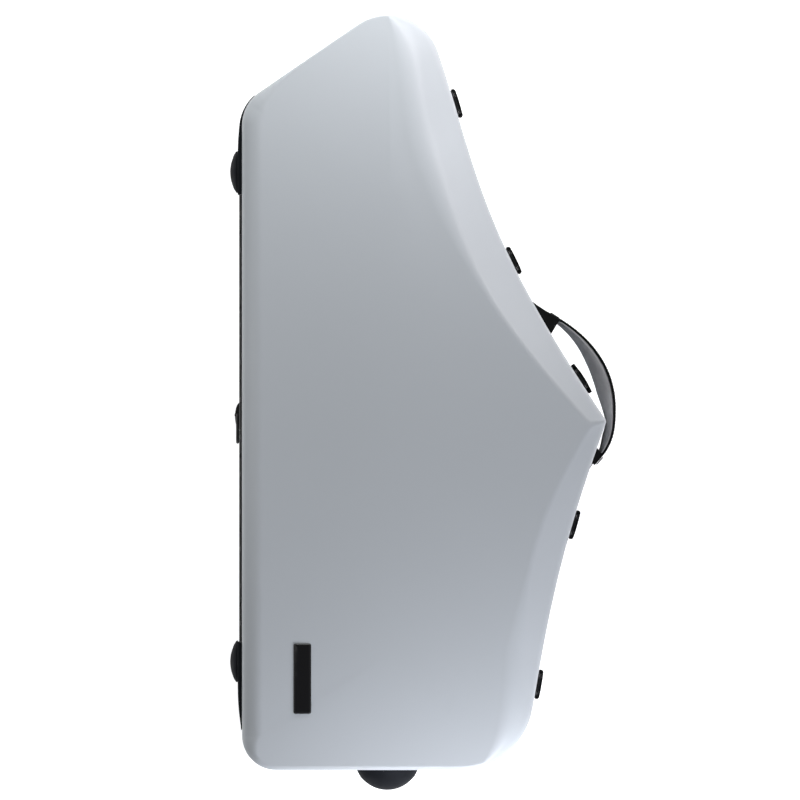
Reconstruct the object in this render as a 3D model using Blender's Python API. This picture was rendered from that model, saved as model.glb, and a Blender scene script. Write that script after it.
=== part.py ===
"""Alto saxophone case, lying on its back with the lid up. Metres, +Z up.

Seen from above, +Y runs towards the top shoulder, +X towards the bell side, and the hinge is at -X.
The origin is on the floor, under the middle of the object's footprint.
Plans are drawn as u, the distance from the spine, and v, the distance from the bottom edge.
h is the height above the parting plane, where the two halves meet.
"""

import math

import bmesh
import bpy
import numpy as np
from mathutils import Vector

for old_object in list(bpy.data.objects):
    bpy.data.objects.remove(old_object)

# Overall sizes of the two shells
SHELL_LENGTH = 0.6406
SHELL_WIDTH = 0.3085
BASE_DEPTH = 0.100
LID_DEPTH = 0.080
WALL = 0.004
GAP = 0.0003

# Corners and edges of the shells
TOP_CORNER_SHARE = (0.4778, 1.0389)
TOP_CORNER_ROUND = 0.0447
TOP_SPINE_SHARE = (0.0, 0.8814)
TOP_SPINE_ROUND = 0.034
BOTTOM_SPINE_ROUND = 0.029
BOTTOM_BELL_SHARE = (0.7711, 0.0)
BOTTOM_BELL_ROUND = 0.0626
PEAK_SHARE = (1.0026, 0.4618)
PEAK_ROUND = 0.0017
UPPER_SIDE_SHARES = ((0.6536, 0.7863), (0.6483, 0.7148))
LOWER_SIDE_SHARES = ((0.8896, 0.3121), (0.8486, 0.2258))
CREASE_PEAK_SHARE = (0.9608, 0.4571)
CREASE_PEAK_ROUND = 0.006
UPPER_CREASE_SHARES = ((0.5913, 0.6750), (0.6289, 0.6346))
LOWER_CREASE_SHARES = ((0.6833, 0.2433), (0.8285, 0.1465))
CREASE_END_TURN_SHARE = 0.25
SPINE_EDGE_ROUND = 0.017
PLAIN_EDGE_ROUND = 0.004
BEVEL_SLOPE = 0.9
BEVEL_START_SHARE = 0.16
RIM_CHAMFER = 0.0022

# Rim tongue on the base and seal in the lid
TONGUE_WIDTH = 0.004
TONGUE_RISE = 0.003
TONGUE_DEPTH = 0.010
SEAL_HEIGHT = 0.005
LINER_CLEARANCE = 0.0012
LINER_GAP = 0.003
LID_LINER_GAP = 0.005

# Room for the instrument: body tube, bow and bell
BODY_TOP_SHARE = (0.214, 0.8976)
BODY_FOOT_SHARE = (0.201, 0.1327)
BODY_TOP_R = 0.030
BODY_FOOT_R = 0.046
BOW_SHARE = (0.3436, 0.1327)
BOW_HALF_LENGTH = 0.090
BELL_FOOT_SHARE = (0.4862, 0.1483)
BELL_RIM_SHARE = (0.7196, 0.4917)
BELL_FOOT_R = 0.040
BELL_RIM_R = 0.066
STORE_SHARES = ((0.363, 0.55), (0.690, 0.55), (0.535, 0.824), (0.363, 0.824))
STORE_DEPTH = 0.072

# Piano hinge on the spine
HINGE_END_GAP = 0.0006
HINGE_KNUCKLES = 19
KNUCKLE_R = 0.0019
KNUCKLE_AXIS_OUT = 0.0009
KNUCKLE_END_GAP = 0.0004
LEAF_THICKNESS = 0.0012
LEAF_HEIGHT = 0.016
LEAF_START = 0.0024
PIN_R = 0.0007
PIN_CLEARANCE = 0.0002
PIN_OVERHANG = 0.0008
RIVET_R = 0.0026
RIVET_HEIGHT = 0.0009
LEAF_RIVETS = 6

# Corner guards and domed feet on the spine, and the hinge's run between the guards
GUARD_THICKNESS = 0.0033
GUARD_EDGE = 0.0009
GUARD_START = 0.005
GUARD_HEIGHT = 0.055
GUARD_CHAMFER = 0.0012
LOWER_GUARD_SHARES = (0.052, 0.168)
UPPER_GUARD_SHARES = (0.763, 0.892)
HINGE_LENGTH = (UPPER_GUARD_SHARES[0] - LOWER_GUARD_SHARES[1]) * SHELL_LENGTH - 2 * HINGE_END_GAP
HINGE_MIDDLE_SHARE = (UPPER_GUARD_SHARES[0] + LOWER_GUARD_SHARES[1]) / 2
GUARD_TAPER_SHARE = 0.3
SPINE_FOOT_R = 0.0175
SPINE_FOOT_HEIGHT = 0.0063
SPINE_FOOT_SHARES = (0.143, 0.792)
FOOT_SKIRT = 0.0012

# Dome feet on the bottom edge
BOTTOM_FOOT_R = 0.026
BOTTOM_FOOT_HEIGHT = 0.017
BOTTOM_FOOT_SHARE = 0.400
BOTTOM_FOOT_RISE = 0.038

# Strap ring half way along the spine
RING_SHARE = 0.470
RING_RISE = 0.031
RING_WIRE_R = 0.0013
RING_WIDTH = 0.024
RING_REACH = 0.0233
RING_CORNER_R = 0.007
RING_AXIS_OUT = 0.0042
RING_BARREL_R = 0.0027
RING_BARREL_LENGTH = 0.016
RING_PLATE_LENGTH = 0.021
RING_PLATE_HEIGHT = 0.022
RING_PLATE_THICKNESS = 0.0014
RING_CLEARANCE = 0.0003
RING_SADDLE_SHARE = 0.9

# Draw latches on the bell side
LATCH_SHARES = {"latch_1": 0.8824, "latch_2": 0.6734, "latch_centre": 0.5162, "latch_3": 0.325,
                "latch_4": 0.1129}
CENTRE_LATCH = "latch_centre"
LATCH_LENGTH = 0.0254
CENTRE_LATCH_LENGTH = 0.0284
LATCH_PLATE = 0.0008
LATCH_PLATE_TOP = 0.0026
LATCH_AXIS_OUT = 0.0020
LATCH_AXIS_DROP = 0.0050
AXLE_R = 0.0006
AXLE_CLEARANCE = 0.00015
EAR_WALL = 0.0003
EAR_THICKNESS = 0.0016
EAR_FOOT = 0.0016
LUG_THICKNESS = 0.0016
LEVER_SKIN = 0.0010
LEVER_REACH = 0.0175
LEVER_CROWN = 0.0002
LEVER_TOP_DROP = 0.0044
CHEEK_THICKNESS = 0.0026
LEVER_CORNER_R = 0.0023
CHEEK_START = 0.0009
CLAW_SLOT_CLEARANCE = 0.0007
CLAW_PIVOT_DROP = 0.0065
CLAW_PIN_R = 0.00045
CLAW_WIDTH = 0.011
CLAW_THICKNESS = 0.0008
CLAW_TOOTH = 0.0014
COVER_DROP = 0.0013
KEEPER_START = 0.0028
KEEPER_HEIGHT = 0.0110
KEEPER_LIP_START = 0.0062
KEEPER_LIP_HEIGHT = 0.0020
KEEPER_LIP_OUT = 0.00035

# Handle: strap over a padded grip, between two mounts on the base
HANDLE_DROP = 0.042
HANDLE_WIDTH = 0.030
STRAP_WIDTH = 0.026
STRAP_THICKNESS = 0.0019
STRAP_START_SHARE = (0.8169, 0.6144)
STRAP_BEND_SHARE = (0.8386, 0.6077)
STRAP_CREST_SHARE = (1.0295, 0.4738)
STRAP_END_SHARE = (0.9708, 0.4029)
STRAP_UPPER_SHARES = ((0.9568, 0.5735), (1.0295, 0.5335))
STRAP_LOWER_SHARES = ((1.0295, 0.4406), (1.0137, 0.4236))
GRIP_SPAN_SHARES = (0.134, 0.924)
GRIP_THICKNESS = 0.0110
GRIP_THICKNESS_SHARES = ((0.0, 0.30), (0.11, 0.35), (0.20, 0.48), (0.32, 0.75), (0.46, 0.96), (0.585, 1.0),
                         (0.71, 0.72), (0.76, 0.46), (0.81, 0.44), (0.87, 0.54), (0.98, 0.36), (1.0, 0.28))
GRIP_ROUND = 0.0016
UPPER_MOUNT_SHARES = (0.6205, 0.577)
UPPER_MOUNT_SPAN_SHARES = (0.0, 0.128)
LOWER_MOUNT_SHARES = (0.4267, 0.397)
LOWER_MOUNT_SPAN_SHARES = (0.93, 0.995)
MOUNT_WIDTH = 0.032
STRAP_SCREW_R = 0.0042
STRAP_SCREW_HEIGHT = 0.0009
STRAP_SCREW_SHARES = {"handle_screw_upper": 0.095, "handle_screw_lower": 0.965}

# Badge plate, left bare
BADGE_WIDTH = 0.0150
BADGE_LENGTH = 0.0597
BADGE_THICKNESS = 0.0016
BADGE_CORNER_R = 0.0014
BADGE_SHARE = (0.1661, 0.1209)

# How finely round shapes are cut
PROBE_SHARE = 0.0024
SHORT_RUN_SHARES = (0.34, 0.67)
LONG_RUN_SHARES = (0.2, 0.4, 0.6, 0.8)
SMOOTH_ANGLE = 35
BELL_LOWER_POINTS = 20
BELL_UPPER_POINTS = 24
EDGE_STEPS = 4
ROUND_SIDES = 12
SMALL_SIDES = 8
DOME_SIDES = 22
DOME_RINGS = 4
CAVITY_SIDES = 24
BOW_SUBDIVISIONS = 3
STRAP_POINTS = 26
GRIP_POINTS = 22

LEVER_BOW_SHARES = tuple(i / ROUND_SIDES * 2 - 1 for i in range(ROUND_SIDES + 1))

PARTING_Z = BASE_DEPTH
SATIN_WHITE = (0.78, 0.80, 0.83)
BLACK_PLASTIC = (0.018, 0.019, 0.021)
SLATE_RUBBER = (0.030, 0.033, 0.037)
BLACK_METAL = (0.028, 0.029, 0.032)
STEEL = (0.45, 0.46, 0.48)
GREY_PAD = (0.16, 0.17, 0.175)
DARK_PLUSH = (0.035, 0.037, 0.042)


def plan_point(share):
    """A plan point from its shares of the shell's width and length."""
    return np.array((share[0] * SHELL_WIDTH, share[1] * SHELL_LENGTH))


def unit(vector):
    return vector / np.linalg.norm(vector)


def bezier(start, first, second, end, steps=60):
    """Points of a cubic curve, both ends included."""
    t = np.linspace(0, 1, steps + 1)[:, None]
    s = 1 - t
    return s**3 * start + 3 * s**2 * t * first + 3 * s * t**2 * second + t**3 * end


def round_corner(before, corner, after, radius, steps):
    """Points of the arc that rounds a corner between two straight runs, tangent points included."""
    a, b = unit(before - corner), unit(after - corner)
    half = math.acos(float(np.clip(a @ b, -1, 1))) / 2
    centre = corner + unit(a + b) * radius / math.sin(half)
    first = corner + a * radius / math.tan(half) - centre
    last = corner + b * radius / math.tan(half) - centre
    sweep = math.atan2(first[0] * last[1] - first[1] * last[0], first @ last)
    turned = []
    for angle in np.linspace(0, sweep, steps + 1):
        c, s = math.cos(angle), math.sin(angle)
        turned.append(centre + np.array((c * first[0] - s * first[1], s * first[0] + c * first[1])))
    return np.array(turned)


def lengths(path):
    """Distance run at each point of a polyline."""
    return np.concatenate(([0], np.cumsum(np.linalg.norm(np.diff(path, axis=0), axis=1))))


def at_shares(path, shares):
    """Points of a polyline at shares of its length."""
    run = lengths(path)
    wanted = np.asarray(shares) * run[-1]
    return np.stack([np.interp(wanted, run, path[:, i]) for i in range(path.shape[1])], axis=1)


def trimmed(path, start, end, points):
    """A polyline without its first and last stretch, at evenly spaced points."""
    total = lengths(path)[-1]
    return at_shares(path, np.linspace(start / total, 1 - end / total, points))


def inward_normals(loop):
    """Unit normals that point into a closed loop that runs anticlockwise."""
    tangents = np.roll(loop, -1, axis=0) - np.roll(loop, 1, axis=0)
    tangents /= np.linalg.norm(tangents, axis=1)[:, None]
    return np.stack([-tangents[:, 1], tangents[:, 0]], axis=1)


def side_paths():
    """The shell's plan as four runs, anticlockwise from the apex of the top shoulder."""
    top, top_spine = plan_point(TOP_CORNER_SHARE), plan_point(TOP_SPINE_SHARE)
    bottom_spine, bottom_bell = np.zeros(2), plan_point(BOTTOM_BELL_SHARE)
    peak = plan_point(PEAK_SHARE)
    upper_1, upper_2 = (plan_point(s) for s in UPPER_SIDE_SHARES)
    lower_1, lower_2 = (plan_point(s) for s in LOWER_SIDE_SHARES)
    shoulder = round_corner(upper_1, top, top_spine, TOP_CORNER_ROUND, EDGE_STEPS * EDGE_STEPS)
    apex = int(np.argmax(shoulder[:, 1]))
    heel = round_corner(bottom_spine, bottom_bell, lower_2, BOTTOM_BELL_ROUND, EDGE_STEPS * EDGE_STEPS)
    spine_top = round_corner(top, top_spine, bottom_spine, TOP_SPINE_ROUND, EDGE_STEPS + 1)
    spine_foot = round_corner(top_spine, bottom_spine, bottom_bell, BOTTOM_SPINE_ROUND, EDGE_STEPS + 2)
    split = round(CREASE_END_TURN_SHARE * (len(heel) - 1))
    plain_runs = [shoulder[apex:][::2], at_shares(np.array([shoulder[-1], spine_top[0]]), SHORT_RUN_SHARES),
                  spine_top, at_shares(np.array([spine_top[-1], spine_foot[0]]), LONG_RUN_SHARES),
                  spine_foot, at_shares(np.array([spine_foot[-1], heel[0]]), SHORT_RUN_SHARES), heel[:split:2]]
    lower = np.concatenate([heel[split:], bezier(peak, lower_1, lower_2, heel[-1])[::-1][1:]])
    upper = np.concatenate([bezier(shoulder[0], upper_1, upper_2, peak)[::-1], shoulder[1:apex + 1]])
    return np.concatenate(plain_runs), lower, upper, peak


PLAIN_RUN, LOWER_RUN, UPPER_RUN, PEAK = side_paths()
BELL_SIDE = np.concatenate([LOWER_RUN, UPPER_RUN[1:]])


def soft_corner(before, corner, after):
    """The middle point of a slightly rounded corner."""
    return (before + corner * 2 + after) / 4


def outline(inset=0.0):
    """The shell's plan loop, moved inwards by inset, with the same number of points each time."""
    trim = PEAK_ROUND + inset * math.tan(math.radians(PEAK_HALF_TURN))
    lower = trimmed(LOWER_RUN, 0, trim, BELL_LOWER_POINTS)
    upper = trimmed(UPPER_RUN, trim, 0, BELL_UPPER_POINTS)
    sharp = np.concatenate([PLAIN_RUN, lower, PEAK[None], upper[:-1]])
    normals = inward_normals(sharp)
    moved = sharp + normals * inset
    middle = len(PLAIN_RUN) + BELL_LOWER_POINTS
    before, after = unit(PEAK - lower[-1]), unit(upper[0] - PEAK)
    for index, way in ((middle - 1, before), (middle + 1, after)):
        moved[index] = sharp[index] + np.array((-way[1], way[0])) * inset
    bisector = unit(np.array((-before[1], before[0])) + np.array((-after[1], after[0])))
    corner = PEAK + bisector * inset / math.cos(math.radians(PEAK_HALF_TURN))
    moved[middle] = soft_corner(moved[middle - 1], corner, moved[middle + 1])
    return moved


PEAK_COSINE = float(unit(LOWER_RUN[-1] - LOWER_RUN[-2]) @ unit(UPPER_RUN[1] - PEAK))
PEAK_HALF_TURN = math.degrees(math.acos(PEAK_COSINE)) / 2


def face_loop(inset=0.0):
    """The loop where the flat face meets its edges: rounds on the plain sides, the crease on the bell side."""
    plain_count = len(PLAIN_RUN)
    outer = outline()
    insets = np.array([edge_round(p) for p in PLAIN_RUN])
    plain = outer[:plain_count] + inward_normals(outer)[:plain_count] * insets[:, None]
    peak = plan_point(CREASE_PEAK_SHARE)
    upper_1, upper_2 = (plan_point(s) for s in UPPER_CREASE_SHARES)
    lower_1, lower_2 = (plan_point(s) for s in LOWER_CREASE_SHARES)
    start = outer[plain_count] + inward_normals(outer)[plain_count] * PLAIN_EDGE_ROUND
    lower = trimmed(bezier(peak, lower_1, lower_2, start)[::-1], 0, CREASE_PEAK_ROUND, BELL_LOWER_POINTS)
    upper = trimmed(bezier(plain[0], upper_1, upper_2, peak)[::-1], CREASE_PEAK_ROUND, 0, BELL_UPPER_POINTS)
    middle = soft_corner(lower[-1], peak, upper[0])
    loop = np.concatenate([plain, lower, middle[None], upper[:-1]])
    return loop + inward_normals(loop) * inset


def edge_round(point):
    """How far the edge round reaches into the face: wide along the spine, narrow on the other sides."""
    reach = TOP_SPINE_ROUND + BOTTOM_SPINE_ROUND
    share = min(max(1 - point[0] / reach, 0.0), 1.0)
    smooth = share * share * (3 - 2 * share)
    low = min(max(point[1] / BOTTOM_SPINE_ROUND, 0.0), 1.0)
    high = min(max((SHELL_LENGTH * TOP_SPINE_SHARE[1] - point[1]) / TOP_SPINE_ROUND + 1, 0.0), 1.0)
    return PLAIN_EDGE_ROUND + (SPINE_EDGE_ROUND - PLAIN_EDGE_ROUND) * smooth * low * high


def bevel_weights():
    """0 where an edge is a round, 1 where it is the straight bevel of the bell side."""
    weights = np.zeros(len(outline()))
    first = len(PLAIN_RUN)
    count = len(weights) - first
    for i in range(count):
        share = min(i, count - i) / count / BEVEL_START_SHARE
        weights[first + i] = min(share, 1.0)
    return weights


BEVEL_WEIGHTS = bevel_weights()
EDGE_WIDTHS = np.linalg.norm(face_loop() - outline(), axis=1)
EDGE_DROPS = EDGE_WIDTHS * (1 + (BEVEL_SLOPE - 1) * BEVEL_WEIGHTS)


def edge_rings(inset, depth, steps):
    """Rings from the top of the wall, over the edge, to the face, for a surface inset inside the shell."""
    outer, inner = outline(inset), face_loop(inset * (math.sqrt(2) - 1))
    drops = np.maximum(EDGE_DROPS, inset * math.sqrt(2))
    rings = []
    for a in np.linspace(0, 1, steps + 1):
        round_in, round_up = 1 - math.cos(a * math.pi / 2), math.sin(a * math.pi / 2)
        across = (round_in + (a - round_in) * BEVEL_WEIGHTS)[:, None]
        up = round_up + (a - round_up) * BEVEL_WEIGHTS
        rings.append((outer + (inner - outer) * across, depth - drops + (drops - inset) * up))
    return rings


def flat_ring(inset, height):
    return outline(inset), np.full(len(BEVEL_WEIGHTS), height)


def place(points):
    """Plan points u, v and heights above the parting plane, as row-frame points."""
    return [Vector((p[0] - CENTRE_U, p[1] - CENTRE_V, PARTING_Z + p[2])) for p in points]


def principled(name, colour, roughness, metallic=0.0):
    material = bpy.data.materials.new(name)
    material.use_nodes = True
    shader = material.node_tree.nodes["Principled BSDF"]
    shader.inputs["Base Color"].default_value = (*colour, 1.0)
    shader.inputs["Roughness"].default_value = roughness
    shader.inputs["Metallic"].default_value = metallic
    material.diffuse_color = (*colour, 1.0)
    return material


def finish(name, mesh_data, material, origin=None):
    """Closes up a bmesh into a named object with its origin at a given point."""
    bmesh.ops.recalc_face_normals(mesh_data, faces=mesh_data.faces)
    origin = Vector(origin) if origin is not None else Vector()
    bmesh.ops.translate(mesh_data, vec=-origin, verts=mesh_data.verts)
    mesh = bpy.data.meshes.new(name)
    mesh_data.to_mesh(mesh)
    mesh_data.free()
    mesh.shade_smooth()
    mesh.set_sharp_from_angle(angle=math.radians(SMOOTH_ANGLE))
    mesh.materials.append(material)
    obj = bpy.data.objects.new(name, mesh)
    obj.location = origin
    bpy.context.collection.objects.link(obj)
    return obj


def loft(mesh_data, rings, closed=False):
    """Quads between rings of points, with a cap at both ends, or closed on itself."""
    rows = [[mesh_data.verts.new(p) for p in ring] for ring in rings]
    count = len(rows[0])
    pairs = list(zip(rows, rows[1:] + rows[:1])) if closed else list(zip(rows, rows[1:]))
    for low, high in pairs:
        for i in range(count):
            j = (i + 1) % count
            mesh_data.faces.new((low[i], low[j], high[j], high[i]))
    if not closed:
        mesh_data.faces.new(rows[0][::-1])
        mesh_data.faces.new(rows[-1])


def case_rings(rings, side):
    """Rings of the shell's own kind as row-frame points. side is 1 for the lid and -1 for the base."""
    return [place([(p[0], p[1], h * side) for p, h in zip(plan, heights)]) for plan, heights in rings]


def prism(mesh_data, plan, low, high):
    """A plan outline raised from one height to another."""
    loft(mesh_data, [place([(p[0], p[1], h) for p in plan]) for h in (low, high)])


def subtract(obj, cutters):
    """Cuts closed meshes out of an object, and keeps only the result."""
    for cutter in cutters:
        cutter.hide_render = True
        cutter.display_type = "WIRE"
        boolean = obj.modifiers.new("cut", "BOOLEAN")
        boolean.operation = "DIFFERENCE"
        boolean.solver = "EXACT"
        boolean.object = cutter


def unite(obj, others):
    for other in others:
        other.hide_render = True
        other.display_type = "WIRE"
        boolean = obj.modifiers.new("join", "BOOLEAN")
        boolean.operation = "UNION"
        boolean.solver = "EXACT"
        boolean.object = other


def frame_at(v):
    """A flat seat on the bell side: its middle, its run along the edge and its outward normal, in plan."""
    middle_share = share_at_height(v)
    run = lengths(BELL_SIDE)[-1]
    reach = LATCH_LENGTH / 2 / run
    near = at_shares(BELL_SIDE, np.linspace(middle_share - reach, middle_share + reach, 9))
    along = unit(near[-1] - near[0])
    outward = np.array((along[1], -along[0]))
    middle = at_shares(BELL_SIDE, [middle_share])[0]
    stand = max(float((p - middle) @ outward) for p in near)
    return middle + outward * stand, along, outward


def share_at_height(v):
    """Where the bell side passes a height above the bottom edge, as a share of its length."""
    run = lengths(BELL_SIDE)
    rising = BELL_SIDE[:, 1] >= 0
    return float(np.interp(v, BELL_SIDE[rising, 1], run[rising]) / run[-1])


def wall_point(v, outward=0.0):
    """A point of the bell side at a height above the bottom edge, moved out of the wall."""
    share = share_at_height(v)
    near = at_shares(BELL_SIDE, (share - PROBE_SHARE, share, share + PROBE_SHARE))
    along = unit(near[2] - near[0])
    return near[1] + np.array((along[1], -along[0])) * outward


def strap_path():
    """The outer face of the handle strap in plan, from the upper mount to the lower one."""
    start, bend = plan_point(STRAP_START_SHARE), plan_point(STRAP_BEND_SHARE)
    crest, end = plan_point(STRAP_CREST_SHARE), plan_point(STRAP_END_SHARE)
    upper = bezier(bend, *(plan_point(s) for s in STRAP_UPPER_SHARES), crest)
    lower = bezier(crest, *(plan_point(s) for s in STRAP_LOWER_SHARES), end)
    return np.concatenate([start[None], upper, lower[1:]])


STRAP_PATH = strap_path()


def strap_points(shares, inward):
    """Points at shares of the strap's length, moved from its outer face towards the case."""
    shares = np.asarray(shares, float)
    ahead = at_shares(STRAP_PATH, np.minimum(shares + PROBE_SHARE, 1))
    along = ahead - at_shares(STRAP_PATH, np.maximum(shares - PROBE_SHARE, 0))
    along /= np.linalg.norm(along, axis=1)[:, None]
    normals = np.stack([along[:, 1], -along[:, 0]], axis=1)
    return at_shares(STRAP_PATH, shares) + normals * np.asarray(inward).reshape(-1, 1)


STRAP_SHARES = np.linspace(0, 1, STRAP_POINTS)
SPINE_REACH = GAP + GUARD_THICKNESS + GAP + SPINE_FOOT_HEIGHT
HANDLE_REACH = float(STRAP_PATH[:, 0].max())
CENTRE_U = (HANDLE_REACH - SPINE_REACH) / 2
CENTRE_V = (float(outline()[:, 1].max()) - GAP - BOTTOM_FOOT_HEIGHT) / 2


def make_shell(name, side, depth, material):
    """One half of the case: a thin moulded wall with a chamfered lip where it meets the other half."""
    inside = [flat_ring(WALL, GAP / 2)] + edge_rings(WALL, depth, EDGE_STEPS - 1)
    outside = [flat_ring(RIM_CHAMFER, GAP / 2), flat_ring(0, RIM_CHAMFER)] + edge_rings(0, depth, EDGE_STEPS)
    mesh_data = bmesh.new()
    loft(mesh_data, case_rings(inside[::-1] + outside, side))
    return finish(name, mesh_data, material, hinge_point() if side > 0 else None)


def hinge_point():
    return place([(-KNUCKLE_AXIS_OUT, HINGE_MIDDLE_SHARE * SHELL_LENGTH, 0)])[0]


def make_rim_ring(name, side, low, high, material):
    """A band that runs round inside the wall: the base's tongue or the lid's seal."""
    outer, inner = WALL + GAP, WALL + GAP + TONGUE_WIDTH
    rings = [flat_ring(outer, low), flat_ring(outer, high), flat_ring(inner, high), flat_ring(inner, low)]
    mesh_data = bmesh.new()
    loft(mesh_data, case_rings(rings, 1), closed=True)
    return finish(name, mesh_data, material, hinge_point() if side > 0 else None)


def cone_between(name, start, end, start_r, end_r):
    """A round cavity along the parting plane, from one plan point to another."""
    along = unit(end - start)
    across = np.array((along[1], -along[0]))
    mesh_data = bmesh.new()
    rings = []
    for centre, radius in ((start, start_r), (end, end_r)):
        ring = []
        for i in range(CAVITY_SIDES):
            angle = 2 * math.pi * i / CAVITY_SIDES
            point = centre + across * radius * math.cos(angle)
            ring.append((point[0], point[1], radius * math.sin(angle)))
        rings.append(place(ring))
    loft(mesh_data, rings)
    return finish(name, mesh_data, None)


def bow_cavity(name):
    """The rounded room for the bow, which joins the body tube's room to the bell's."""
    mesh_data = bmesh.new()
    bmesh.ops.create_icosphere(mesh_data, subdivisions=BOW_SUBDIVISIONS, radius=BODY_FOOT_R)
    stretch = BOW_HALF_LENGTH / BODY_FOOT_R
    bmesh.ops.scale(mesh_data, vec=(stretch, 1, 1), verts=mesh_data.verts)
    centre = plan_point(BOW_SHARE)
    bmesh.ops.translate(mesh_data, vec=place([(*centre, 0)])[0], verts=mesh_data.verts)
    return finish(name, mesh_data, None)


def make_liner(name, side, depth, start, step_height, material):
    """A moulded foam liner under plush, with the instrument's room cut out of it."""
    edge, step = WALL + LINER_CLEARANCE, WALL + TONGUE_WIDTH + LINER_CLEARANCE
    rings = [flat_ring(step, start), flat_ring(step, step_height), flat_ring(edge, step_height)]
    mesh_data = bmesh.new()
    loft(mesh_data, case_rings(rings + edge_rings(edge, depth, EDGE_STEPS - 1), side))
    liner = finish(name, mesh_data, material, hinge_point() if side > 0 else None)
    half = "lid" if side > 0 else "base"
    body = cone_between("body_room_" + half, plan_point(BODY_TOP_SHARE), plan_point(BODY_FOOT_SHARE),
                        BODY_TOP_R, BODY_FOOT_R)
    bell = cone_between("bell_room_" + half, plan_point(BELL_FOOT_SHARE), plan_point(BELL_RIM_SHARE),
                        BELL_FOOT_R, BELL_RIM_R)
    cutters = [body, bell, bow_cavity("bow_room_" + half)]
    if side < 0:
        store_data = bmesh.new()
        prism(store_data, [plan_point(s) for s in STORE_SHARES], -start - STORE_DEPTH, STORE_DEPTH)
        cutters.append(finish("store_room", store_data, None))
    subtract(liner, cutters)
    return liner


def cylinder(mesh_data, start, end, radius, sides=SMALL_SIDES):
    """A round bar between two row-frame points."""
    axis = (end - start).normalized()
    side = axis.orthogonal().normalized()
    other = axis.cross(side)
    rings = []
    for centre in (start, end):
        ring = []
        for i in range(sides):
            angle = 2 * math.pi * i / sides
            ring.append(centre + side * (radius * math.cos(angle)) + other * (radius * math.sin(angle)))
        rings.append(ring)
    loft(mesh_data, rings)


def box(mesh_data, low, high):
    """A plain block between two corners in u, v and h."""
    plan = [(low[0], low[1]), (high[0], low[1]), (high[0], high[1]), (low[0], high[1])]
    prism(mesh_data, plan, low[2], high[2])


def knuckle_spans():
    """Where each hinge knuckle starts and ends along the spine, from the bottom up."""
    pitch = HINGE_LENGTH / HINGE_KNUCKLES
    start = HINGE_MIDDLE_SHARE * SHELL_LENGTH - HINGE_LENGTH / 2
    return [(start + i * pitch + KNUCKLE_END_GAP / 2, start + (i + 1) * pitch - KNUCKLE_END_GAP / 2)
            for i in range(HINGE_KNUCKLES)]


def make_hinge_leaf(name, side, material):
    """A hinge leaf: a strip on the spine, its row of rolled knuckles, and its rivet heads."""
    spans = knuckle_spans()
    start, end = spans[0][0], spans[-1][1]
    mesh_data = bmesh.new()
    heights = sorted((side * LEAF_START, side * LEAF_HEIGHT))
    box(mesh_data, (-GAP - LEAF_THICKNESS, start, heights[0]), (-GAP, end, heights[1]))
    leaf = finish(name, mesh_data, material, hinge_point() if side > 0 else None)

    knuckles = bmesh.new()
    own = [span for i, span in enumerate(spans) if i % 2 == (1 if side > 0 else 0)]
    for low, high in own:
        points = place([(-KNUCKLE_AXIS_OUT, low, 0), (-KNUCKLE_AXIS_OUT, high, 0)])
        cylinder(knuckles, points[0], points[1], KNUCKLE_R, ROUND_SIDES)
    rolls = finish(name + "_rolls", knuckles, None)

    webs = bmesh.new()
    overlap = LEAF_START + GAP
    for low, high in own:
        heights = sorted((side * KNUCKLE_R / 2, side * overlap))
        box(webs, (-GAP - LEAF_THICKNESS + GAP / 3, low, heights[0]), (-GAP - GAP / 3, high, heights[1]))
    web = finish(name + "_webs", webs, None)

    rivets = bmesh.new()
    middle, leaf_out = side * (LEAF_HEIGHT + LEAF_START) / 2, GAP + LEAF_THICKNESS
    for i in range(LEAF_RIVETS):
        v = start + (end - start) * (i + 0.5) / LEAF_RIVETS
        foot, head = place([(-GAP - LEAF_THICKNESS / 2, v, middle), (-leaf_out - RIVET_HEIGHT, v, middle)])
        cylinder(rivets, foot, head, RIVET_R)
    heads = finish(name + "_rivets", rivets, None)

    bore_data = bmesh.new()
    margin = HINGE_LENGTH / HINGE_KNUCKLES
    points = place([(-KNUCKLE_AXIS_OUT, start - margin, 0), (-KNUCKLE_AXIS_OUT, end + margin, 0)])
    cylinder(bore_data, points[0], points[1], PIN_R + PIN_CLEARANCE)
    bore = finish(name + "_bore", bore_data, None)
    unite(leaf, [web, rolls, heads])
    subtract(leaf, [bore])
    return leaf


def make_hinge_pin(material):
    spans = knuckle_spans()
    low, high = spans[0][0] - PIN_OVERHANG, spans[-1][1] + PIN_OVERHANG
    points = place([(-KNUCKLE_AXIS_OUT, low, 0), (-KNUCKLE_AXIS_OUT, high, 0)])
    mesh_data = bmesh.new()
    cylinder(mesh_data, points[0], points[1], PIN_R)
    return finish("hinge_pin", mesh_data, material)


def spine_run():
    """The plan along the spine and round both of its corners, from the bottom edge to the slanted edge."""
    top, top_spine = plan_point(TOP_CORNER_SHARE), plan_point(TOP_SPINE_SHARE)
    bottom, bottom_spine = plan_point(BOTTOM_BELL_SHARE), np.zeros(2)
    foot = round_corner(bottom, bottom_spine, top_spine, BOTTOM_SPINE_ROUND, EDGE_STEPS * 2)
    head = round_corner(bottom_spine, top_spine, top, TOP_SPINE_ROUND, EDGE_STEPS * 2)
    return np.concatenate([foot, head])


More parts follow.
